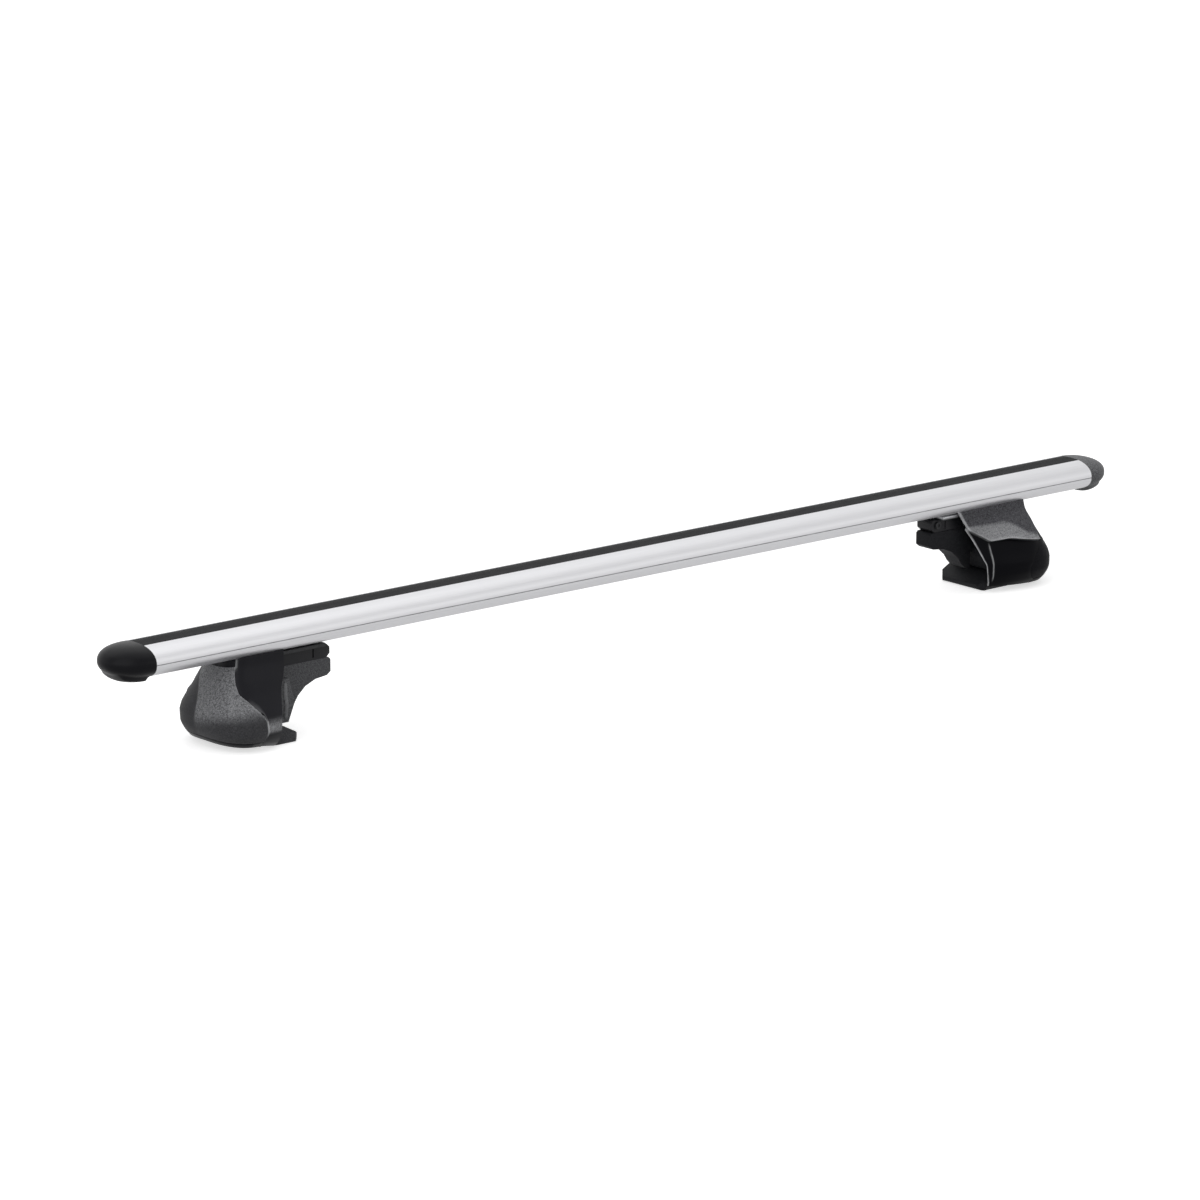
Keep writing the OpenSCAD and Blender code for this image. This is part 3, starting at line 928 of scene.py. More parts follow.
    @classmethod
    def smooth(cls, obj: bpy.types.Object, angle: float = 35) -> None:
        """Shades a piece smooth up to an angle in degrees."""
        cls.only(obj)
        bpy.ops.object.shade_smooth_by_angle(angle=math.radians(angle))

    @classmethod
    def close(cls, obj: bpy.types.Object) -> None:
        """Merges the corners that meet and turns the faces outwards.

        Args:
            obj: Piece to close.
        """
        cls.edit(
            obj,
            lambda: bpy.ops.mesh.remove_doubles(threshold=0.02 * MM),
            lambda: bpy.ops.mesh.normals_make_consistent(inside=False),
        )

    @classmethod
    def join(cls, pieces: list[bpy.types.Object]) -> bpy.types.Object:
        """Joins pieces into the first one.

        Args:
            pieces: Pieces to join.

        Returns:
            The first piece, which now holds them all.
        """
        cls.only(pieces[0])
        for piece in pieces[1:]:
            piece.select_set(True)
        bpy.ops.object.join()
        return pieces[0]

    @staticmethod
    def paint(obj: bpy.types.Object, **masks: Callable[[Vector], float]) -> None:
        """Stores values at each corner of a piece for its material to read.

        Args:
            obj: Piece that carries the values.
            **masks: By attribute, the value at a corner's place in millimetres.
        """
        for name, mask in masks.items():
            layer = obj.data.attributes.new(name, "FLOAT", "POINT")
            for index, vertex in enumerate(obj.data.vertices):
                layer.data[index].value = mask(vertex.co / MM)


@dataclass
class Dresser:
    """Finishes a piece: material, body, replaced nodes and a line in the log."""

    shop: FinishShop = field(default_factory=FinishShop)

    def dress(
        self,
        obj: bpy.types.Object,
        finish: Finish,
        body: str,
        slot: str,
        node: str,
    ) -> None:
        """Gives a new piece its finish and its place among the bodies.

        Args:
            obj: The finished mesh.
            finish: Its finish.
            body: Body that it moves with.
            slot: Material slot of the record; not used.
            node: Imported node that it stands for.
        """
        obj.data.materials.clear()
        obj.data.materials.append(self.shop.get(finish))
        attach(obj, body)
        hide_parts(node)
        LOG.info("%s: %d faces on %s", obj.name, len(obj.data.polygons), body)

    def dress_node(self, frame: dict, node: str, finish: Finish) -> None:
        """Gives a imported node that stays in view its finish.

        Args:
            node: Name of the node.
            finish: Its finish.
        """
        obj = frame["nodes"][node]
        obj.data.materials.clear()
        obj.data.materials.append(self.shop.get(finish))
        LOG.info("%s: kept from the frame", node)


# Bar


@dataclass
class Crossbar:
    """The extruded bar, its rubber strip and its end caps; sizes in millimetres."""

    length: float = 1180.0
    width: float = 60.0
    height: float = 29.0
    cap_length: float = 35.0
    middle_z: float = 91.0
    power: float = 2.3
    cap_around: int = 96
    cap_rows: int = 40
    cap_wall: float = 2.2
    plan_power: float = 2.2
    side_power: float = 2.6
    tip_crowding: float = 0.9
    lip_drop: float = 3.4
    lip_start: Span = (0.08, 0.13)
    lip_end: Span = (0.66, 0.84)
    lip_low: Span = (0.70, 0.80)
    groove_depth: float = 0.6
    groove_reach: float = 0.25

    @property
    def metal_half(self) -> float:
        """Half the length of the metal."""
        return self.length / 2 - self.cap_length

    def build(self, frame: dict, dresser: Dresser) -> None:
        """Builds and dresses the bar's four pieces.

        Args:
            dresser: Gives each piece its finish.
        """
        bar = MeshBench.copy_node(frame, "bar_extrusion", "aero_bar")
        MeshBench.smooth(bar, 25)
        # Painted shade in the groove along each nose.
        MeshBench.paint(bar, edge=self.painted_groove_shade)
        dresser.dress(bar, Finishes.BAR, "bar", "bar_alloy", "bar_extrusion")
        strip = MeshBench.copy_node(frame, "top_strip", "slot_strip")
        MeshBench.smooth(strip, 30)
        dresser.dress(strip, Finishes.STRIP, "bar", "strip_rubber", "top_strip")
        for side in Side:
            self.cap(side, dresser)

    def painted_groove_shade(self, point: Vector) -> float:
        """Painted shade in the fine groove along each nose of the bar.

        Args:
            point: Place in millimetres in the model's frame.

        Returns:
            1 in the groove and 0 elsewhere.
        """
        across = abs(point.y) - self.width / 2 + self.groove_depth
        up = point.z - self.middle_z + self.groove_depth
        return float(max(abs(across), abs(up)) < self.groove_reach)

    def cap_point(self, along: float, around: float) -> Point:
        """Place on an end cap's skin.

        Args:
            along: 0 at the bar's end and 1 at the tip.
            around: Angle round the section in degrees.

        Returns:
            X outwards from the metal's end, Y and Z from the bar's middle.
        """
        shrink = max(0.0, 1 - along**self.plan_power) ** 0.5
        rise = max(0.0, 1 - along**self.side_power) ** 0.5
        c, s = math.cos(math.radians(around)), math.sin(math.radians(around))
        y = self.width / 2 * math.copysign(abs(c) ** (2 / self.power), c)
        z = self.height / 2 * math.copysign(abs(s) ** (2 / self.power), s)
        lip = band(along, self.lip_start, self.lip_end)
        low = smooth_step(-z / (self.height / 2), *self.lip_low)
        return along * self.cap_length, y * shrink, z * rise - lip * low * self.lip_drop

    def cap(self, side: Side, dresser: Dresser) -> None:
        """Builds one end cap: a domed skin with a rim and a moulded lip below.

        Args:
            side: End of the bar.
            dresser: Gives the piece its finish.
        """

        def shape(column: int, row: int) -> Point:
            """Place of a corner of the cap.

            Args:
                column: Column number round the section.
                row: Row number from the bar's end to the tip.

            Returns:
                The corner in millimetres in the model's frame.
            """
            along = math.sin(math.radians(90 * row / self.cap_rows))
            x, y, z = self.cap_point(
                along**self.tip_crowding, 360 * column / self.cap_around
            )
            return -side.inboard * (self.metal_half + x), y, self.middle_z + z

        name = f"cap_{side.value}"
        cap = MeshBench.sheet(name, self.cap_around, self.cap_rows, shape)
        MeshBench.close(cap)
        MeshBench.apply(cap, "SOLIDIFY", thickness=self.cap_wall * MM, offset=-1.0)
        MeshBench.smooth(cap, 40)
        # Left cap painted darker and right cap painted lighter: painted shade and painted
        # light on one moulding.
        finish = side.pick(Finishes.CAP_LEFT_PAINTED_SHADE, Finishes.CAP_RIGHT_PAINTED_LIGHT)
        dresser.dress(cap, finish, "bar", "cap_plastic", f"end_cap_{side.value}")


# Foot


HEIGHTS = (0, 4, 10, 18, 27, 33, 41, 50, 60, 72, 85.5)


def over_heights(*values: float) -> Curve:
    """Gives the curve of a measure of the bell over its station heights."""
    return Curve(zip(HEIGHTS, values))


@dataclass
class BellShape:
    """The moulded bell of a foot, in the foot's own frame in millimetres.

    X points inboard from the datum. Side A is -1 and side B is +1. Along a side, t
    runs from -1 at the inboard edge through 0 at the widest place to 1 outboard.
    Curves named for a place along a side run over t, all others over the height.
    """

    middle: float = -10.0
    power: float = 2.5
    out: Curve = over_heights(-30, -37, -42, -45.5, -46.5, -45, -41, -36, -31, -25, -22)
    wide: Curve = over_heights(36, 42, 47, 50.5, 51, 48.5, 42, 34.5, 28.5, 25, 24)
    narrow: Curve = over_heights(33, 35, 36.5, 38, 38, 36, 32, 28, 25, 23, 22)
    inboard_b: Curve = over_heights(40, 40.5, 41, 42, 43, 45, 47, 50, 55, 62, 70)
    inboard_a: Curve = Curve([
        (0, 10), (18, 8.5), (27, 8.5), (33, 10.5), (41, 15), (50, 20.5), (60, 27),
        (72, 30), (85.5, 30),
    ])
    lean: Curve = Curve([
        (0, 0), (27, 0), (41, 3), (50, 5), (60, 4.5), (72, 1), (85.5, 0),
    ])
    seam: Curve = Curve([
        (0, 0.15), (5, 0.1), (11, -0.1), (18, -0.16), (27, -0.09), (36, 0.02),
        (44, 0.12), (56, 0.3), (72, 0.42),
    ])
    facet: Curve = Curve([(14, 37.5), (50, 38)])
    crease: Curve = Curve([
        (0, 2), (20, 2), (30, 2.5), (40, 6), (50, 12), (60, 19), (70, 23),
    ])
    edge_b: Curve = Curve([
        (-1, 62), (-0.8, 50.5), (-0.45, 51.5), (0, 46.5), (0.6, 41), (1, 39),
    ])
    fold_b: Curve = Curve([(-1, 64.5), (-0.3, 64.5), (0, 51), (0.6, 44), (1, 42)])
    edge_a: Curve = Curve([(-1, 48), (0, 46.5), (0.6, 41), (1, 39)])
    fold_a: Curve = Curve([(-1, 62), (0, 56), (0.6, 46), (1, 42)])
    pad_side: Curve = Curve([(18, -34), (34, -33), (54, -24.5)])
    reach: Curve = Curve([
        (-1, 0), (-0.8, 5), (-0.3, 5.5), (0, 3.2), (0.3, 1), (0.6, 0),
    ])
    rise_a: Curve = Curve([(-1, 0), (0, 4.2), (0.4, 4.7), (1, 6.5)])
    rise_b: Curve = Curve([(-1, 7), (-0.5, 5), (0, 4.2), (0.4, 4.7), (1, 6.5)])
    way_round: float = 60.0
    seam_gap: float = 0.5
    straight_share: float = 0.4
    lip: float = 4.5
    edge_drop: float = 0.8
    tuck: float = 0.34
    tuck_fade: Span = (8.0, 16.0)
    top: float = 84.5
    under_bar: float = 77.0
    bar_middle: float = 90.5
    bar_half: float = 30.0
    bar_rise: float = 14.5
    bar_power: float = 2.3
    low_rows: int = 26
    edge_rows: int = 6
    top_rows: int = 12

    @property
    def rows(self) -> int:
        """Faces from the lower edge to the top."""
        return self.low_rows + 1 + self.edge_rows + self.top_rows

    def xy(
        self, side: int, t: float, z: float, inset: float = 0.0, bump: float = 0.0
    ) -> tuple[float, float]:
        """Plan place of a point of the bell at a height.

        Args:
            side: -1 or 1.
            t: Place along the side.
            z: Height.
            inset: How far inside the outer skin.
            bump: How far the shoulder pushes it out.

        Returns:
            (x, y) in the foot frame.
        """
        share = self.straight_share
        wide = self.wide.straight(z) * share + self.wide.at(z) * (1 - share)
        wide += bump - inset + (self.lean.at(z) if side > 0 else 0.0)
        if t >= 0:
            out = self.middle - self.out.at(z) - inset + bump
            a = math.radians(90 + 90 * t)
            return (
                self.middle - out * abs(math.cos(a)) ** (2 / self.power),
                side * wide * abs(math.sin(a)) ** (2 / self.power),
            )
        narrow = self.narrow.at(z) - inset + bump
        x = self.middle - t * (self.end(side, z) - self.middle)
        u = (x - self.middle) / (self.end(1, z) - self.middle)
        return x, side * (wide - (wide - narrow) * u * u)

    def end(self, side: int, z: float) -> float:
        """Place of the inboard edge at a height."""
        return (self.inboard_b if side > 0 else self.inboard_a).at(z)

    def follow(
        self, line: Callable[[float], float], row: float, z: float
    ) -> float:
        """Finds where a row of side B crosses a line that is known by height.

        Args:
            line: Step of t of the line at a height.
            row: Row number from the lower edge.
            z: First guess of the height.

        Returns:
            The step of t of the crossing.
        """
        for _ in range(4):
            z = self.level(row, 1, line(z))[0]
        return line(z)

    def facet_t(self, z: float) -> float:
        """Step of t at which the facet line crosses a height on side B.

        Args:
            z: Height.

        Returns:
            The step of t.
        """
        z = min(z, self.facet.stations[-1][0])
        place = self.facet.straight(z) - self.middle
        return -place / (self.end(1, z) - self.middle)

    def crease_t(self, z: float) -> float:
        """Step of t at which the cover's crease crosses a height on side B."""
        share = self.crease.at(z) / (self.wide.at(z) + self.lean.at(z))
        return math.degrees(math.acos(min(1.0, share) ** (self.power / 2))) / 90

    def seat(self, y: float) -> float:
        """Height of the bar's skin above a place across it, less a hair's gap.

        Args:
            y: Place across the bar.

        Returns:
            The height.
        """
        share = min(abs(y), self.bar_half) / self.bar_half
        rise = self.bar_rise * (1 - share**self.bar_power) ** (1 / self.bar_power)
        return self.bar_middle - rise

    def low(self, side: int, t: float) -> float:
        """Height of the moulded lower edge."""
        return (self.rise_b if side > 0 else self.rise_a).at(t)

    def level(
        self, row: float, side: int, t: float, top: float | None = None
    ) -> tuple[float, float]:
        """Height of a row and how far its shoulder stands out.

        Args:
            row: Row number from the lower edge.
            side: -1 or 1.
            t: Place along the side.
            top: Height of the last row, where it isn't the bell's own.

        Returns:
            (height, bump).
        """
        low = self.low(side, t) + self.lip
        edge = (self.edge_b if side > 0 else self.edge_a).straight(t)
        fold = (self.fold_b if side > 0 else self.fold_a).straight(t)
        if row <= self.low_rows:
            return low + (edge - self.edge_drop - low) * row / self.low_rows, 0.0
        row -= self.low_rows + 1
        if row <= self.edge_rows:
            share = row / self.edge_rows
            reach = self.reach.at(t) if side > 0 else 0.0
            return edge + (fold - edge) * share, reach * (1 - share)
        share = (row - self.edge_rows) / self.top_rows
        return fold + ((top or self.top) - fold) * share, 0.0

    def point(
        self, row: float, side: int, t: float, inset: float, seated: bool
    ) -> Point:
        """Place of a grid corner on the bell.

        Args:
            row: Row number from the lower edge.
            side: -1 or 1.
            t: Place along the side.
            inset: How far inside the outer skin.
            seated: Whether the top follows the bar's underside.

        Returns:
            (x, y, z) in the foot frame.
        """
        top = self.top
        if seated:
            top = min(top, self.seat(self.xy(side, t, self.under_bar, inset)[1]))
        z, bump = self.level(row, side, t, top)
        x, y = self.xy(side, t, z, inset, bump)
        if side > 0 and t < 0 and row <= self.low_rows:
            past = max(0.0, x - self.facet.straight(z))
            y -= self.tuck * past * smooth_step(z, *self.tuck_fade)
        return x, y, z

    def gap(self, side: int, t: float, z: float) -> float:
        """Width of the seam between cover and housing, as a step of t."""
        length = self.way_round if t >= 0 else self.end(side, z) - self.middle
        return self.seam_gap / length

    def near(self, side: int, p: Vector) -> float:
        """Rough place along a side of a point near its skin.

        Args:
            side: -1 or 1.
            p: Point in the foot frame.

        Returns:
            The step of t, from -1 to 1.
        """
        if p.x > self.middle:
            end = self.end(side, p.z)
            return -min(1.0, (p.x - self.middle) / (end - self.middle))
        out = self.middle - self.out.at(p.z)
        share = min(1.0, (self.middle - p.x) / out) ** (self.power / 2)
        return math.degrees(math.asin(min(1.0, share))) / 90


@dataclass
class FootMasks:
    """Where a foot's finishes change and where painted highlights and painted shade lie: a
    value from 0 to 1 at each corner.

    Lengths are in millimetres in the foot's own frame. Spans named along run over -t,
    from the widest place to the inboard edge, and strengths are values of a mask.
    """

    side: Side
    shape: BellShape
    flange_y: Span = (15.7, 16.2)
    flange_z: Span = (75.2, 75.8)
    bead_z: Span = (18.5, 54.5)
    bead_proud: Span = (0.2, 1.2)
    bead_strength: float = 0.55
    grain_start: float = -30.0
    grain_edge: Span = (-0.9, 0.3)
    foot_rise: Span = (15.0, 19.0)
    foot_fall: Span = (22.0, 31.0)
    foot_x: Span = (-18.0, -6.0)
    ledge_edge: Span = (-0.6, 0.2)
    ledge_fold: Span = (-0.4, 0.4)
    ledge_along: Span = (-0.55, -0.1)
    rim_along: Span = (0.983, 0.996)
    line_width: Span = (0.4, 1.1)
    line_along: Span = (-0.4, -0.1)
    line_end: float = 0.97
    line_strength: float = 0.45
    ridge_width: Span = (0.2, 0.8)
    ridge_top: Span = (2.0, 8.0)
    ridge_foot: Span = (10.0, 16.0)
    ridge_strength: float = 0.5
    skin_depth: float = 1.2
    seam_width: Span = (0.0, 0.03)
    # Painted highlight along the housing's seam edge on side A.
    seam_highlight_low: float = 21.0
    seam_highlight_high: float = 74.0
    seam_highlight_reach: Span = (5.0, 9.0)
    seam_highlight_strengths: Span = (0.5, 0.15)
    # Painted shade where the cover turns under.
    under_z: float = 27.0
    under_slope: float = 0.22
    under_fade: Span = (-10.0, 5.0)
    under_strength: float = 0.85
    flank_fade: Span = (0.0, 1.0)
    black_edge: Span = (-1.2, 0.0)
    black_past: Span = (8.0, 26.0)
    # Painted highlight along the cover's seam.
    cover_highlight_width: Span = (0.012, 0.05)
    cover_highlight_foot: Span = (8.0, 16.0)
    cover_highlight_low: float = 23.0
    cover_highlight_reach: Span = (5.0, 10.0)
    cover_highlight_top: Span = (56.0, 64.0)
    cover_highlight_strengths: Span = (0.6, 0.3)

    def local(self, point: Vector) -> Vector:
        """Turns a point of the model into the foot frame, both in millimetres."""
        k = self.side.inboard
        return Vector((k * (point.x - self.side.datum), k * point.y, point.z))

    def flange_highlight(self, point: Vector) -> float:
        """Painted highlight along the flange's cut edge on side B."""
        p = self.local(point)
        return smooth_step(p.y, *self.flange_y) * smooth_step(p.z, *self.flange_z)

    def bead_highlight(self, point: Vector) -> float:
        """How much painted highlight lies on the bead on the pad's side.

        Args:
            point: Place in millimetres in the model's frame.

        Returns:
            The mask's value there, from 0 to 1.
        """
        p = self.local(point)
        low, high = self.bead_z
        proud = self.shape.pad_side.straight(p.z) - p.y
        rubbed = self.bead_strength * smooth_step(proud, *self.bead_proud)
        return rubbed if low < p.z < high else 0.0

    def grained(self, point: Vector) -> float:
        """How grained the housing is: side B's upper face and its shoulder.

        Args:
            point: Place in millimetres in the model's frame.

        Returns:
            The mask's value there, from 0 to 1.
        """
        p = self.local(point)
        if p.y < 0 or p.x < self.grain_start:
            return 0.0
        edge = self.shape.edge_b.straight(self.shape.near(1, p))
        return smooth_step(p.z, *shifted(self.grain_edge, edge))

    def ledge(self, point: Vector) -> float:
        """How much painted highlight, as pale grain, lies on the up-facing shoulder and on
        side A's flared foot.

        Args:
            point: Place in millimetres in the model's frame.

        Returns:
            The mask's value there, from 0 to 1.
        """
        p = self.local(point)
        if p.y < 0:
            worn = band(p.z, self.foot_rise, self.foot_fall)
            return worn * smooth_step(p.x, *self.foot_x)
        t = self.shape.near(1, p)
        edge, fold = self.shape.edge_b.straight(t), self.shape.fold_b.straight(t)
        edge_span = shifted(self.ledge_edge, edge)
        fold_span = shifted(self.ledge_fold, fold)
        return band(p.z, edge_span, fold_span) * smooth_step(-t, *self.ledge_along)

    def housing_edge(self, point: Vector) -> float:
        """Where painted highlights lie along the housing's edges."""
        p = self.local(point)
        return self.inboard_lines(p) if p.y > 0 else self.seam_line(p)

    def inboard_lines(self, p: Vector) -> float:
        """Painted highlights on side B: the inboard rim, the moulded edge and the facet's
        ridge.

        Args:
            p: Point in the foot frame.

        Returns:
            The mask's value there, from 0 to 1.
        """
        t = self.shape.near(1, p)
        rim = smooth_step(-t, *self.rim_along)
        edge = self.shape.edge_b.straight(t)
        line = smooth_fall(abs(p.z - edge), *self.line_width)
        turn = abs(p.x - self.shape.facet.straight(p.z))
        ridge = smooth_fall(turn, *self.ridge_width)
        ridge *= smooth_step(edge - p.z, *self.ridge_top)
        ridge *= smooth_step(p.z, *self.ridge_foot)
        fade = self.line_strength * line * smooth_step(-t, *self.line_along)
        if -t >= self.line_end:
            fade = 0.0
        return max(rim, fade, self.ridge_strength * ridge)

    def seam_line(self, p: Vector) -> float:
        """Painted highlight on side A: the housing's edge along the seam, most at its
        ends.

        Args:
            p: Point in the foot frame.

        Returns:
            The mask's value there, from 0 to 1.
        """
        seam = self.shape.seam.at(p.z)
        t = self.shape.near(-1, p)
        x, y = self.shape.xy(-1, t, p.z)
        if math.hypot(p.x - x, p.y - y) > self.skin_depth:
            return 0.0
        line = smooth_fall(abs(t - seam), *self.seam_width)
        low = smooth_fall(abs(p.z - self.seam_highlight_low), *self.seam_highlight_reach)
        high = smooth_fall(abs(p.z - self.seam_highlight_high), *self.seam_highlight_reach)
        weaker, least = self.seam_highlight_strengths
        return line * max(low, weaker * high, least)

    def flank_and_painted_shade(self, point: Vector) -> float:
        """How dark and fine the cover is: its darker flank on side B beyond the crease,
        and painted shade where the cover turns under below about 27 mm.

        Args:
            point: Place in millimetres in the model's frame.

        Returns:
            The mask's value there, from 0 to 1.
        """
        p = self.local(point)
        past = p.y - self.shape.crease.at(p.z)
        turn = self.under_z + self.under_slope * max(0.0, -p.y)
        under = smooth_fall(p.z, *shifted(self.under_fade, turn))
        return max(self.under_strength * under, smooth_step(past, *self.flank_fade))

    def shaded(self, point: Vector) -> float:
        """Painted shade: how black the cover is below the moulded edge of side B.

        Args:
            point: Place in millimetres in the model's frame.

        Returns:
            The mask's value there, from 0 to 1.
        """
        p = self.local(point)
        edge = self.shape.edge_b.straight(self.shape.near(1, p))
        black = smooth_fall(p.z, *shifted(self.black_edge, edge))
        past = p.y - self.shape.crease.at(p.z)
        return black * smooth_step(past, *self.black_past)

    def cover_edge(self, point: Vector) -> float:
        """A faint painted highlight along the cover's seam on side A.

        Args:
            point: Place in millimetres in the model's frame.

        Returns:
            The mask's value there, from 0 to 1.
        """
        p = self.local(point)
        if p.y > 0:
            return 0.0
        away = abs(self.shape.near(-1, p) - self.shape.seam.at(p.z))
        line = smooth_fall(away, *self.cover_highlight_width)
        line *= smooth_step(p.z, *self.cover_highlight_foot)
        low = smooth_fall(abs(p.z - self.cover_highlight_low), *self.cover_highlight_reach)
        high = smooth_step(p.z, *self.cover_highlight_top)
        weaker, least = self.cover_highlight_strengths
        return line * max(least, low, weaker * high)


@dataclass
class ClampFoot:
    """One clamping foot; sizes in millimetres in the foot's own frame."""

    side: Side
    shape: BellShape = field(default_factory=BellShape)
    wall: float = 2.6
    cover_wall: float = 1.7
    liner: float = 3.2
    inner_point: Point = (0.0, 0.0, 35.0)
    side_columns: int = 20
    zone_columns: int = 26
    lip_rows: int = 2
    lip_step: float = 3.9
    fold_share: float = 0.4
    crease_share: float = 0.5
    crease_step: float = 0.6
    crease_rise: Span = (14.0, 32.0)
    crease_fall: Span = (60.0, 70.0)
    least_panel: float = 0.12
    window_x: Span = (-70.0, -12.0)
    window_y: Span = (-18.0, 18.0)
    window_z: Span = (14.0, 57.0)
    tongue_x: Span = (-29.0, 6.0)
    tongue_y: float = 16.65
    tongue_half: float = 1.3
    tongue_z: Span = (48.5, 56.0)
    bead_radius: float = 2.6
    bead_z: Span = (20.0, 53.0)
    bead_line: Curve = Curve([(18, 23), (34, 25.5), (46, 28), (54, 31)])
    cut_y: Span = (-40.0, 40.0)
    pad_cut_x: Span = (26.0, 35.6)
    pad_cut_z: Span = (16.0, 36.0)
    pad_end: float = 40.0
    toe_cut_x: Span = (19.0, 45.0)
    toe_cut_z: Span = (16.4, 2.9)
    toe_top: float = 22.0

    @property
    def masks(self) -> FootMasks:
        """The foot's masks."""
        return FootMasks(self.side, self.shape)

    def place(self, point: Point) -> Point:
        """Turns a foot-frame point into the model's frame, both in millimetres."""
        k = self.side.inboard
        return self.side.datum + k * point[0], k * point[1], point[2]

    @staticmethod
    def stretch(
        share: float, knee: float, low: float, turn: float, high: float
    ) -> float:
        """Spreads columns so that those about the knee gather along a line.

        Args:
            share: Column as a share of the whole, from 0 to 1.
            knee: Share of the column that lies on the line.
            low: Value at share 0.
            turn: Value on the line.
            high: Value at share 1.

        Returns:
            The column's value.
        """
        crowding, spread, knee_itself = 1.6, 0.95, 0.999
        if share < knee:
            u = share / knee
            u = u * spread if u < knee_itself else u
            return low + (turn - low) * (1 - (1 - u) ** crowding)
        u = (share - knee) / (1 - knee)
        return turn + (high - turn) * u**crowding

    def name(self, word: str) -> str:
        """Name of a piece of this foot."""
        return f"{word}_{self.side.value}"

    def build(self, frame: dict, dresser: Dresser) -> None:
        """Builds and dresses every piece of the foot.

        Args:
            dresser: Gives each piece its finish.
        """
        self.housing(dresser)
        self.cover(dresser)
        self.hardware(frame, dresser)

    def housing(self, dresser: Dresser) -> None:
        """Builds the moulded housing: a lofted wall stepped in behind the cover.

        Args:
            dresser: Gives the piece its finish.
        """
        shape = self.shape
        half = self.side_columns + 1 + self.zone_columns

        def draw(column: int, row: int) -> Point:
            """Place of a corner of the housing's wall.

            Args:
                column: Column number.
                row: Row number from the lower edge.

            Returns:
                The corner in the model's frame.
            """
            side = 1 if column <= half else -1
            c = column if side > 0 else 2 * half - column
            covered = c > self.side_columns
            level = max(0, row - self.lip_rows)
            z = shape.level(level, side, 0.0)[0]
            seam = shape.seam.at(z)
            share = c / self.side_columns
            if covered:
                share = (c - self.side_columns - 1) / self.zone_columns
                t = seam + (1 - seam) * share
            elif side < 0:
                t = -1 + (seam + 1) * share**1.5
            else:
                turn = shape.follow(shape.facet_t, level, z)
                t = self.stretch(share, self.fold_share, -1.0, turn, seam)
            if row < self.lip_rows:
                z = shape.low(side, t) + self.lip_step * row
                return self.place((*shape.xy(side, t, z), z))
            inset = self.liner if covered else 0.0
            return self.place(shape.point(level, side, t, inset, True))

        rows = shape.rows + self.lip_rows
        wall = self.moulded_wall("housing_shell", 2 * half, rows, draw, self.wall)
        self.cut(wall, self.window)
        MeshBench.round_edges(wall, 0.5, 2, 50)
        masks = self.masks
        # Painted here: highlight on the up-facing shoulder and side A's foot, and
        # highlight lines along the housing's edges.
        MeshBench.paint(
            wall, zone=masks.grained, ledge=masks.ledge, edge=masks.housing_edge
        )
        MeshBench.smooth(wall, 32)
        # The right foot's housing takes its darker copy: painted shade.
        dresser.dress(
            wall, self.side.pick(Finishes.HOUSING_LEFT, Finishes.HOUSING_RIGHT_PAINTED_LIGHT_AND_SHADE),
            self.name("foot"), "housing_plastic", self.name("foot_housing"),
        )

    def moulded_wall(
        self,
        word: str,
        columns: int,
        rows: int,
        draw: Callable[[int, int], Point],
        thickness: float,
    ) -> bpy.types.Object:
        """Draws an open sheet round the foot's middle and thickens it inwards.

        Args:
            word: Name of the piece on either foot.
            columns: Faces along the sheet.
            rows: Faces across the sheet.
            draw: Place of a corner from its column and row number.
            thickness: Thickness of the wall.

        Returns:
            The wall.
        """
        wall = MeshBench.sheet(self.name(word), columns, rows, draw)
        centre = Vector(self.place(self.inner_point)) * MM
        outward = sum(
            face.normal.dot(face.center - centre) * face.area
            for face in wall.data.polygons
        )
        if outward < 0:
            MeshBench.edit(wall, lambda: bpy.ops.mesh.flip_normals())
        MeshBench.apply(wall, "SOLIDIFY", thickness=thickness * MM, offset=-1.0)
        return wall

    def window(self, a: float, b: float, c: float) -> Point:
        """The opening behind the cover that the hand knob is reached through."""
        return within(self.window_x, a), within(self.window_y, b), within(self.window_z, c)

    def pad_corner(self, a: float, b: float, c: float) -> Point:
        """The wedge that eases the pad's lower inboard corner off."""
        x = self.pad_end if a else within(self.pad_cut_x, c)
        return x, within(self.cut_y, b), within(self.pad_cut_z, c)

    def toe_slope(self, a: float, b: float, c: float) -> Point:
        """The wedge that slants the toe's upper side down to its nose."""
        z = self.toe_top if c else within(self.toe_cut_z, a)
        return within(self.toe_cut_x, a), within(self.cut_y, b), z

    def pad_bead(self) -> bpy.types.Object:
        """Builds the rounded bead that runs down the pad's side beside the housing.

        Returns:
            The bead, still a piece by itself.
        """
        around, rows, end_rows, sunk = 16, 24, 4, 1.0
        low, high = self.bead_z

        def draw(column: int, row: int) -> Point:
            """Place of a corner of the bead.

            Args:
                column: Column number round the bead.
                row: Row number from the bead's lower end.

            Returns:
                The corner in the model's frame.
            """
            z = low + (high - low) * row / rows
            a = 2 * math.pi * column / around
            end = min(1.0, min(row, rows - row) / end_rows)
            radius = self.bead_radius * math.sqrt(1 - (1 - end) ** 2)
            x = self.bead_line.at(z) + radius * math.cos(a)
            y = self.shape.pad_side.straight(z) + sunk + radius * math.sin(a)
            return self.place((x, y, z))

        bead = MeshBench.sheet(self.name("pad_bead"), around, rows, draw)
        MeshBench.close(bead)
        return bead

    def block(self, shape: Callable[[float, float, float], Point]) -> bpy.types.Object:
        """Adds a six-sided block.

        Args:
            shape: Foot-frame place of a corner from its three shares, each 0 or 1.

        Returns:
            The block.
        """
        bpy.ops.mesh.primitive_cube_add(size=1.0)
        block = bpy.context.object
        for vertex in block.data.vertices:
            share = vertex.co + Vector((0.5, 0.5, 0.5))
            vertex.co = Vector(self.place(shape(*share))) * MM
        MeshBench.close(block)
        return block

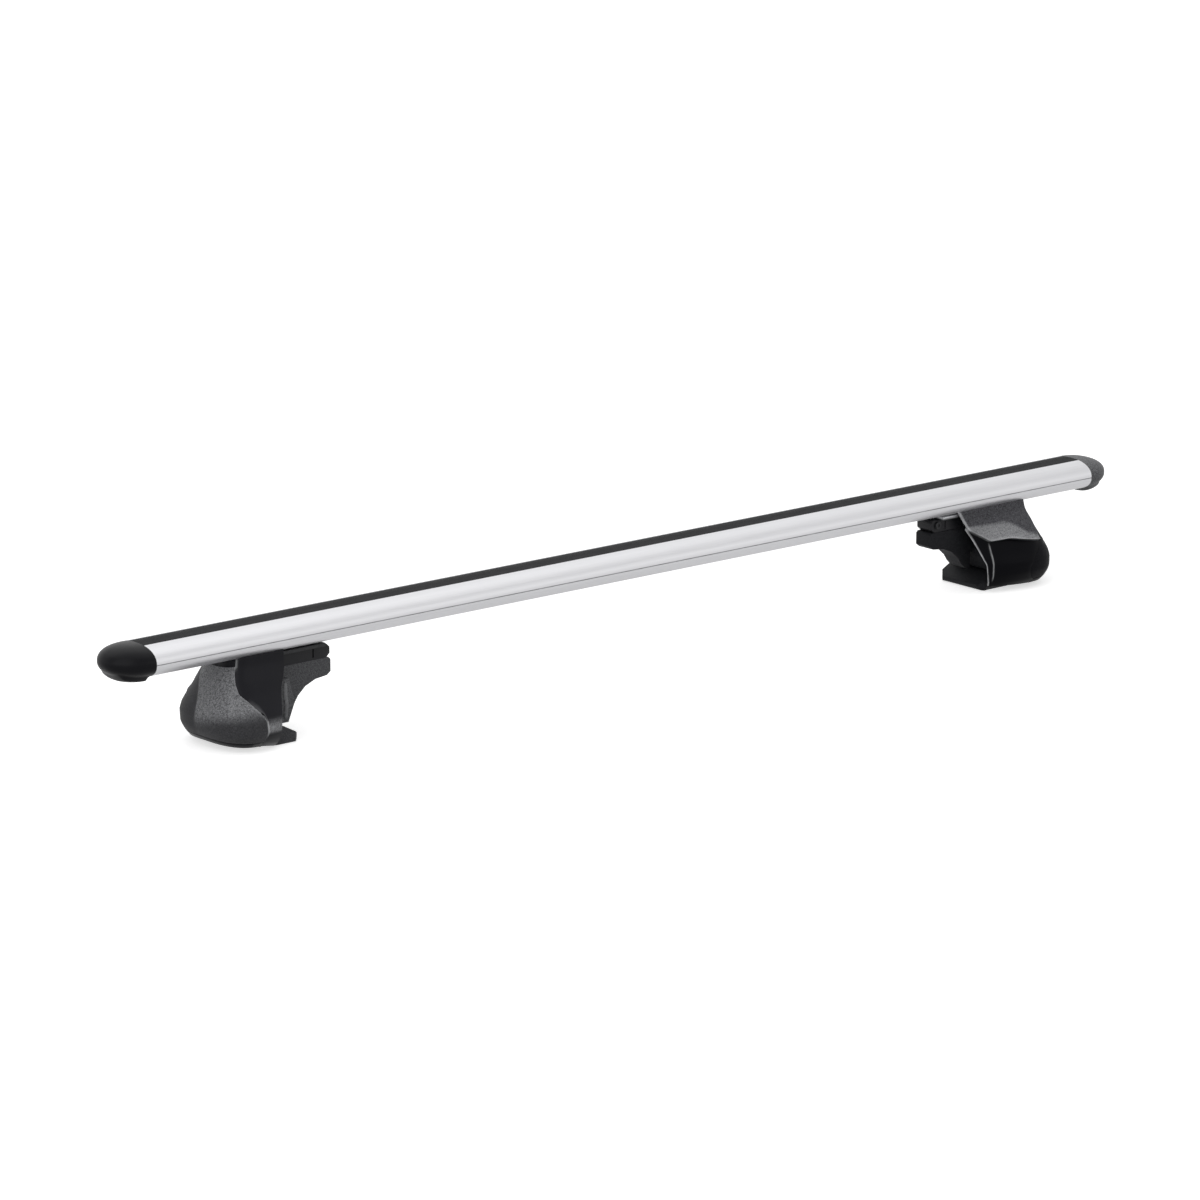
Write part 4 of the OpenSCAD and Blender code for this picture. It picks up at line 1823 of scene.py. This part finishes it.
    def cut(
        self, obj: bpy.types.Object, shape: Callable[[float, float, float], Point]
    ) -> None:
        """Cuts a block's space out of a piece.

        Args:
            obj: Piece that is cut.
            shape: Foot-frame place of the block's corners, as in block.
        """
        cutter = self.block(shape)
        MeshBench.apply(
            obj, "BOOLEAN", operation="DIFFERENCE", object=cutter, solver="EXACT"
        )
        bpy.data.objects.remove(cutter)

    def cover(self, dresser: Dresser) -> None:
        """Builds the outer cover with its raised panel and its guide tongues.

        Args:
            dresser: Gives the piece its finish.
        """
        shape = self.shape
        columns = 2 * self.zone_columns
        rows = shape.rows - shape.top_rows // 3

        def draw(column: int, row: int) -> Point:
            """Place of a corner of the cover's skin.

            Args:
                column: Column number.
                row: Row number from the lower edge.

            Returns:
                The corner in the model's frame.
            """
            side = 1 if column <= self.zone_columns else -1
            share = (column if side > 0 else columns - column) / self.zone_columns
            z = shape.level(row, side, 0.0)[0]
            seam = shape.seam.at(z)
            seam += shape.gap(side, seam, z)
            t = seam + (1 - seam) * share
            inset = 0.0
            if side > 0:
                turn = shape.follow(shape.crease_t, row, z)
                turn = max(turn, seam + self.least_panel * (1 - seam))
                t = self.stretch(share, self.crease_share, seam, turn, 1.0)
                inset = self.crease_step * smooth_step(turn - t, 0.0, 0.03)
                inset *= band(z, self.crease_rise, self.crease_fall)
            return self.place(shape.point(row, side, t, inset, False))

        skin = self.moulded_wall("cover_shell", columns, rows, draw, self.cover_wall)
        MeshBench.round_edges(skin, 0.6, 3, 50)
        cover = MeshBench.join([skin, self.tongue(-1), self.tongue(1)])
        masks = self.masks
        # Painted here: the darker flank, shade under the cover and below side B's edge,
        # and a highlight along the seam.
        MeshBench.paint(
            cover, zone=masks.flank_and_painted_shade, ledge=masks.shaded, edge=masks.cover_edge
        )
        MeshBench.smooth(cover, 34)
        # The right foot's cover takes its darker copy: painted shade.
        dresser.dress(
            cover, self.side.pick(Finishes.COVER_LEFT, Finishes.COVER_RIGHT),
            self.name("cover"), "cover_plastic", self.name("foot_cover"),
        )

    def tongue(self, hand: int) -> bpy.types.Object:
        """Builds a tongue that guides the cover between the housing's ribs.

        Args:
            hand: -1 or 1, the side of the foot's middle that it lies on.

        Returns:
            The tongue.
        """
        def shape(a: float, b: float, c: float) -> Point:
            """Place of a corner of the tongue."""
            y = hand * self.tongue_y + self.tongue_half * (2 * b - 1)
            return within(self.tongue_x, a), y, within(self.tongue_z, c)

        tongue = self.block(shape)
        MeshBench.round_edges(tongue, 0.5, 2)
        return tongue

    def hardware(self, frame: dict, dresser: Dresser) -> None:
        """Dresses the clamp's pieces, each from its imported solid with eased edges.

        Args:
            dresser: Gives each piece its finish.
        """
        foot, jaw, screw = self.name("foot"), self.name("jaw"), self.name("screw")
        # The right foot's pad and toe take the pad's darker copy: painted shade.
        pad = self.side.pick(Finishes.PAD_LEFT, Finishes.PAD_RIGHT_PAINTED_SHADE)
        toe = self.side.pick(Finishes.TOE, Finishes.PAD_RIGHT_PAINTED_SHADE)
        steel = Finishes.DARK_STEEL
        cuts = {"rail_pad": self.pad_corner, "toe_pad": self.toe_slope}
        masks = self.masks
        # Painted highlights: along the bracket flange's cut edge and on the pad's bead.
        paints = {"support_bracket": masks.flange_highlight, "rail_pad": masks.bead_highlight}
        widest_plain_bevel = 1.5
        for node, word, bevel, finish, body, slot in (
            ("support_bracket", "bracket", 0.5, steel, foot, "bracket_steel"),
            ("rail_pad", "grip_pad", 2.6, pad, foot, "pad_rubber"),
            ("nose_block", "nose_stub", 1.4, Finishes.NOSE, foot, "nose_plastic"),
            ("nose_screw", "stub_screw", 0.25, steel, foot, "nose_screw_steel"),
            ("bar_bolts", "clamp_bolts", 0.35, Finishes.ZINC, foot, "bolt_steel"),
            ("clamp_jaw", "lower_jaw", 0.5, steel, jaw, "jaw_steel"),
            ("toe_pad", "jaw_pad", 2.0, toe, jaw, "toe_rubber"),
            ("clamp_knob", "hand_knob", 0.7, Finishes.KNOB, screw, "knob_plastic"),
        ):
            piece = MeshBench.copy_node(frame, self.name(node), self.name(word))
            if node in cuts:
                self.cut(piece, cuts[node])
            if bevel > widest_plain_bevel:
                MeshBench.round_long_edges(piece, bevel)
            else:
                MeshBench.round_edges(piece, bevel, 3, 30)
            if node == "rail_pad":
                piece = MeshBench.join([piece, self.pad_bead()])
            MeshBench.smooth(piece, 35)
            if node in paints:
                MeshBench.paint(piece, edge=paints[node])
            dresser.dress(piece, finish, body, slot, self.name(node))
        for node in (
            "slot_plate", "pad_screws", "jaw_nut", "tension_screw", "screw_clip",
            "thrust_washer",
        ):
            dresser.dress_node(frame, self.name(node), Finishes.ZINC)


# Studio


@dataclass
class Studio:
    """Floor, lights and camera; lengths in metres, angles in degrees."""

    azimuth: float = -40.31
    elevation: float = 13.63
    distance: float = 5.911
    lens: float = 194.9
    sensor: float = 36.0
    shift: Span = (-0.0255, -0.0335)
    target: Point = (0.0, 0.0, 0.091)
    far_clip: float = 200.0
    floor_half: float = 40.0
    floor_drop: float = 0.0004
    floor_tone: float = 0.90
    floor_glow: float = 0.62
    bounce_tone: float = 0.34
    mirrored_glow: float = 0.78
    soft_light: float = 0.45
    sky_heights: Span = (0.3, 0.95)
    sky_glow: Span = (1.0, 0.3)
    white: tuple[float, ...] = (1.0, 1.0, 1.0, 1.0)

    def build(self) -> None:
        """Sets up everything that isn't part of the object."""
        self.world()
        self.floor()
        self.lamp("key", (-3.2, -1.2, 2.3), 4.4, 50.0)
        self.lamp("top", (0.2, 0.6, 3.4), 4.6, 38.0)
        self.lamp("fill", (1.6, -3.8, 1.3), 2.4, 5.0)
        self.camera()
        bpy.context.scene.view_settings.view_transform = "Standard"

    def world(self) -> None:
        """Even soft light, and plain white where it is seen or reflected."""
        world = bpy.data.worlds.new("studio")
        bpy.context.scene.world = world
        bench = NodeBench.on(world)
        path = bench.add("ShaderNodeLightPath").outputs
        place = bench.add("ShaderNodeTexCoord")
        parts = bench.add("ShaderNodeSeparateXYZ")
        bench.join(place.outputs["Generated"], parts.inputs[0])
        height = bench.spread(parts.outputs["Z"], self.sky_heights, self.sky_glow)
        seen = bench.math(
            "ADD",
            path["Is Camera Ray"],
            bench.math("MULTIPLY", path["Is Glossy Ray"], height),
            clamp=True,
        )
        soft, white = (
            bench.add("ShaderNodeBackground", Color=self.white, Strength=strength)
            for strength in (self.soft_light, 1.0)
        )
        out = bench.add("ShaderNodeOutputWorld")
        light = bench.mix(seen, soft.outputs[0], white.outputs[0])
        bench.join(light, out.inputs["Surface"])

    def floor(self) -> None:
        """A plain pale floor that keeps the object's shadow."""
        bpy.ops.mesh.primitive_plane_add(
            size=2 * self.floor_half, location=(0.0, 0.0, -self.floor_drop)
        )
        floor = bpy.context.object
        floor.name = "studio_floor"
        material = bpy.data.materials.new("pale_floor")
        bench = NodeBench.on(material)
        path = bench.add("ShaderNodeLightPath").outputs
        pale, grey = (
            bench.add("ShaderNodeBsdfDiffuse", Color=(tone, tone, tone, 1.0))
            for tone in (self.floor_tone, self.bounce_tone)
        )
        glow, sheen = (
            bench.add("ShaderNodeEmission", Strength=strength)
            for strength in (self.floor_glow, self.mirrored_glow)
        )
        both = bench.add("ShaderNodeAddShader")
        bench.join(pale.outputs[0], both.inputs[0])
        bench.join(glow.outputs[0], both.inputs[1])
        away = bench.mix(path["Is Glossy Ray"], grey.outputs[0], sheen.outputs[0])
        out = bench.add("ShaderNodeOutputMaterial")
        seen = bench.mix(path["Is Camera Ray"], away, both.outputs[0])
        bench.join(seen, out.inputs["Surface"])
        floor.data.materials.append(material)

    def lamp(self, name: str, place: Point, size: float, power: float) -> None:
        """Adds a soft square lamp that looks at the object.

        Args:
            name: Name of the lamp.
            place: Where it stands.
            size: Side of the square.
            power: Watts.
        """
        data = bpy.data.lights.new(name, "AREA")
        data.shape = "SQUARE"
        data.size = size
        data.energy = power
        lamp = bpy.data.objects.new(name, data)
        bpy.context.scene.collection.objects.link(lamp)
        lamp.location = place
        aim = Vector(self.target) - Vector(place)
        lamp.rotation_euler = aim.to_track_quat("-Z", "Y").to_euler()

    def camera(self) -> None:
        """Places the camera at the photograph's viewing angle."""
        a, e = math.radians(self.azimuth), math.radians(self.elevation)
        back = Vector(
            (math.sin(a) * math.cos(e), -math.cos(a) * math.cos(e), math.sin(e))
        )
        data = bpy.data.cameras.new("studio_camera")
        data.lens = self.lens
        data.sensor_width = self.sensor
        data.shift_x, data.shift_y = self.shift
        data.clip_end = self.far_clip
        camera = bpy.data.objects.new("studio_camera", data)
        bpy.context.scene.collection.objects.link(camera)
        camera.location = Vector(self.target) + back * self.distance
        camera.rotation_euler = (-back).to_track_quat("-Z", "Y").to_euler()
        bpy.context.scene.camera = camera


def main() -> None:
    """Builds the whole scene."""
    logging.basicConfig(level=logging.INFO, format="%(name)s: %(message)s")
    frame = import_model()
    dresser = Dresser()
    Crossbar().build(frame, dresser)
    for side in Side:
        ClampFoot(side).build(frame, dresser)
    Studio().build()


if __name__ == "__main__":
    main()
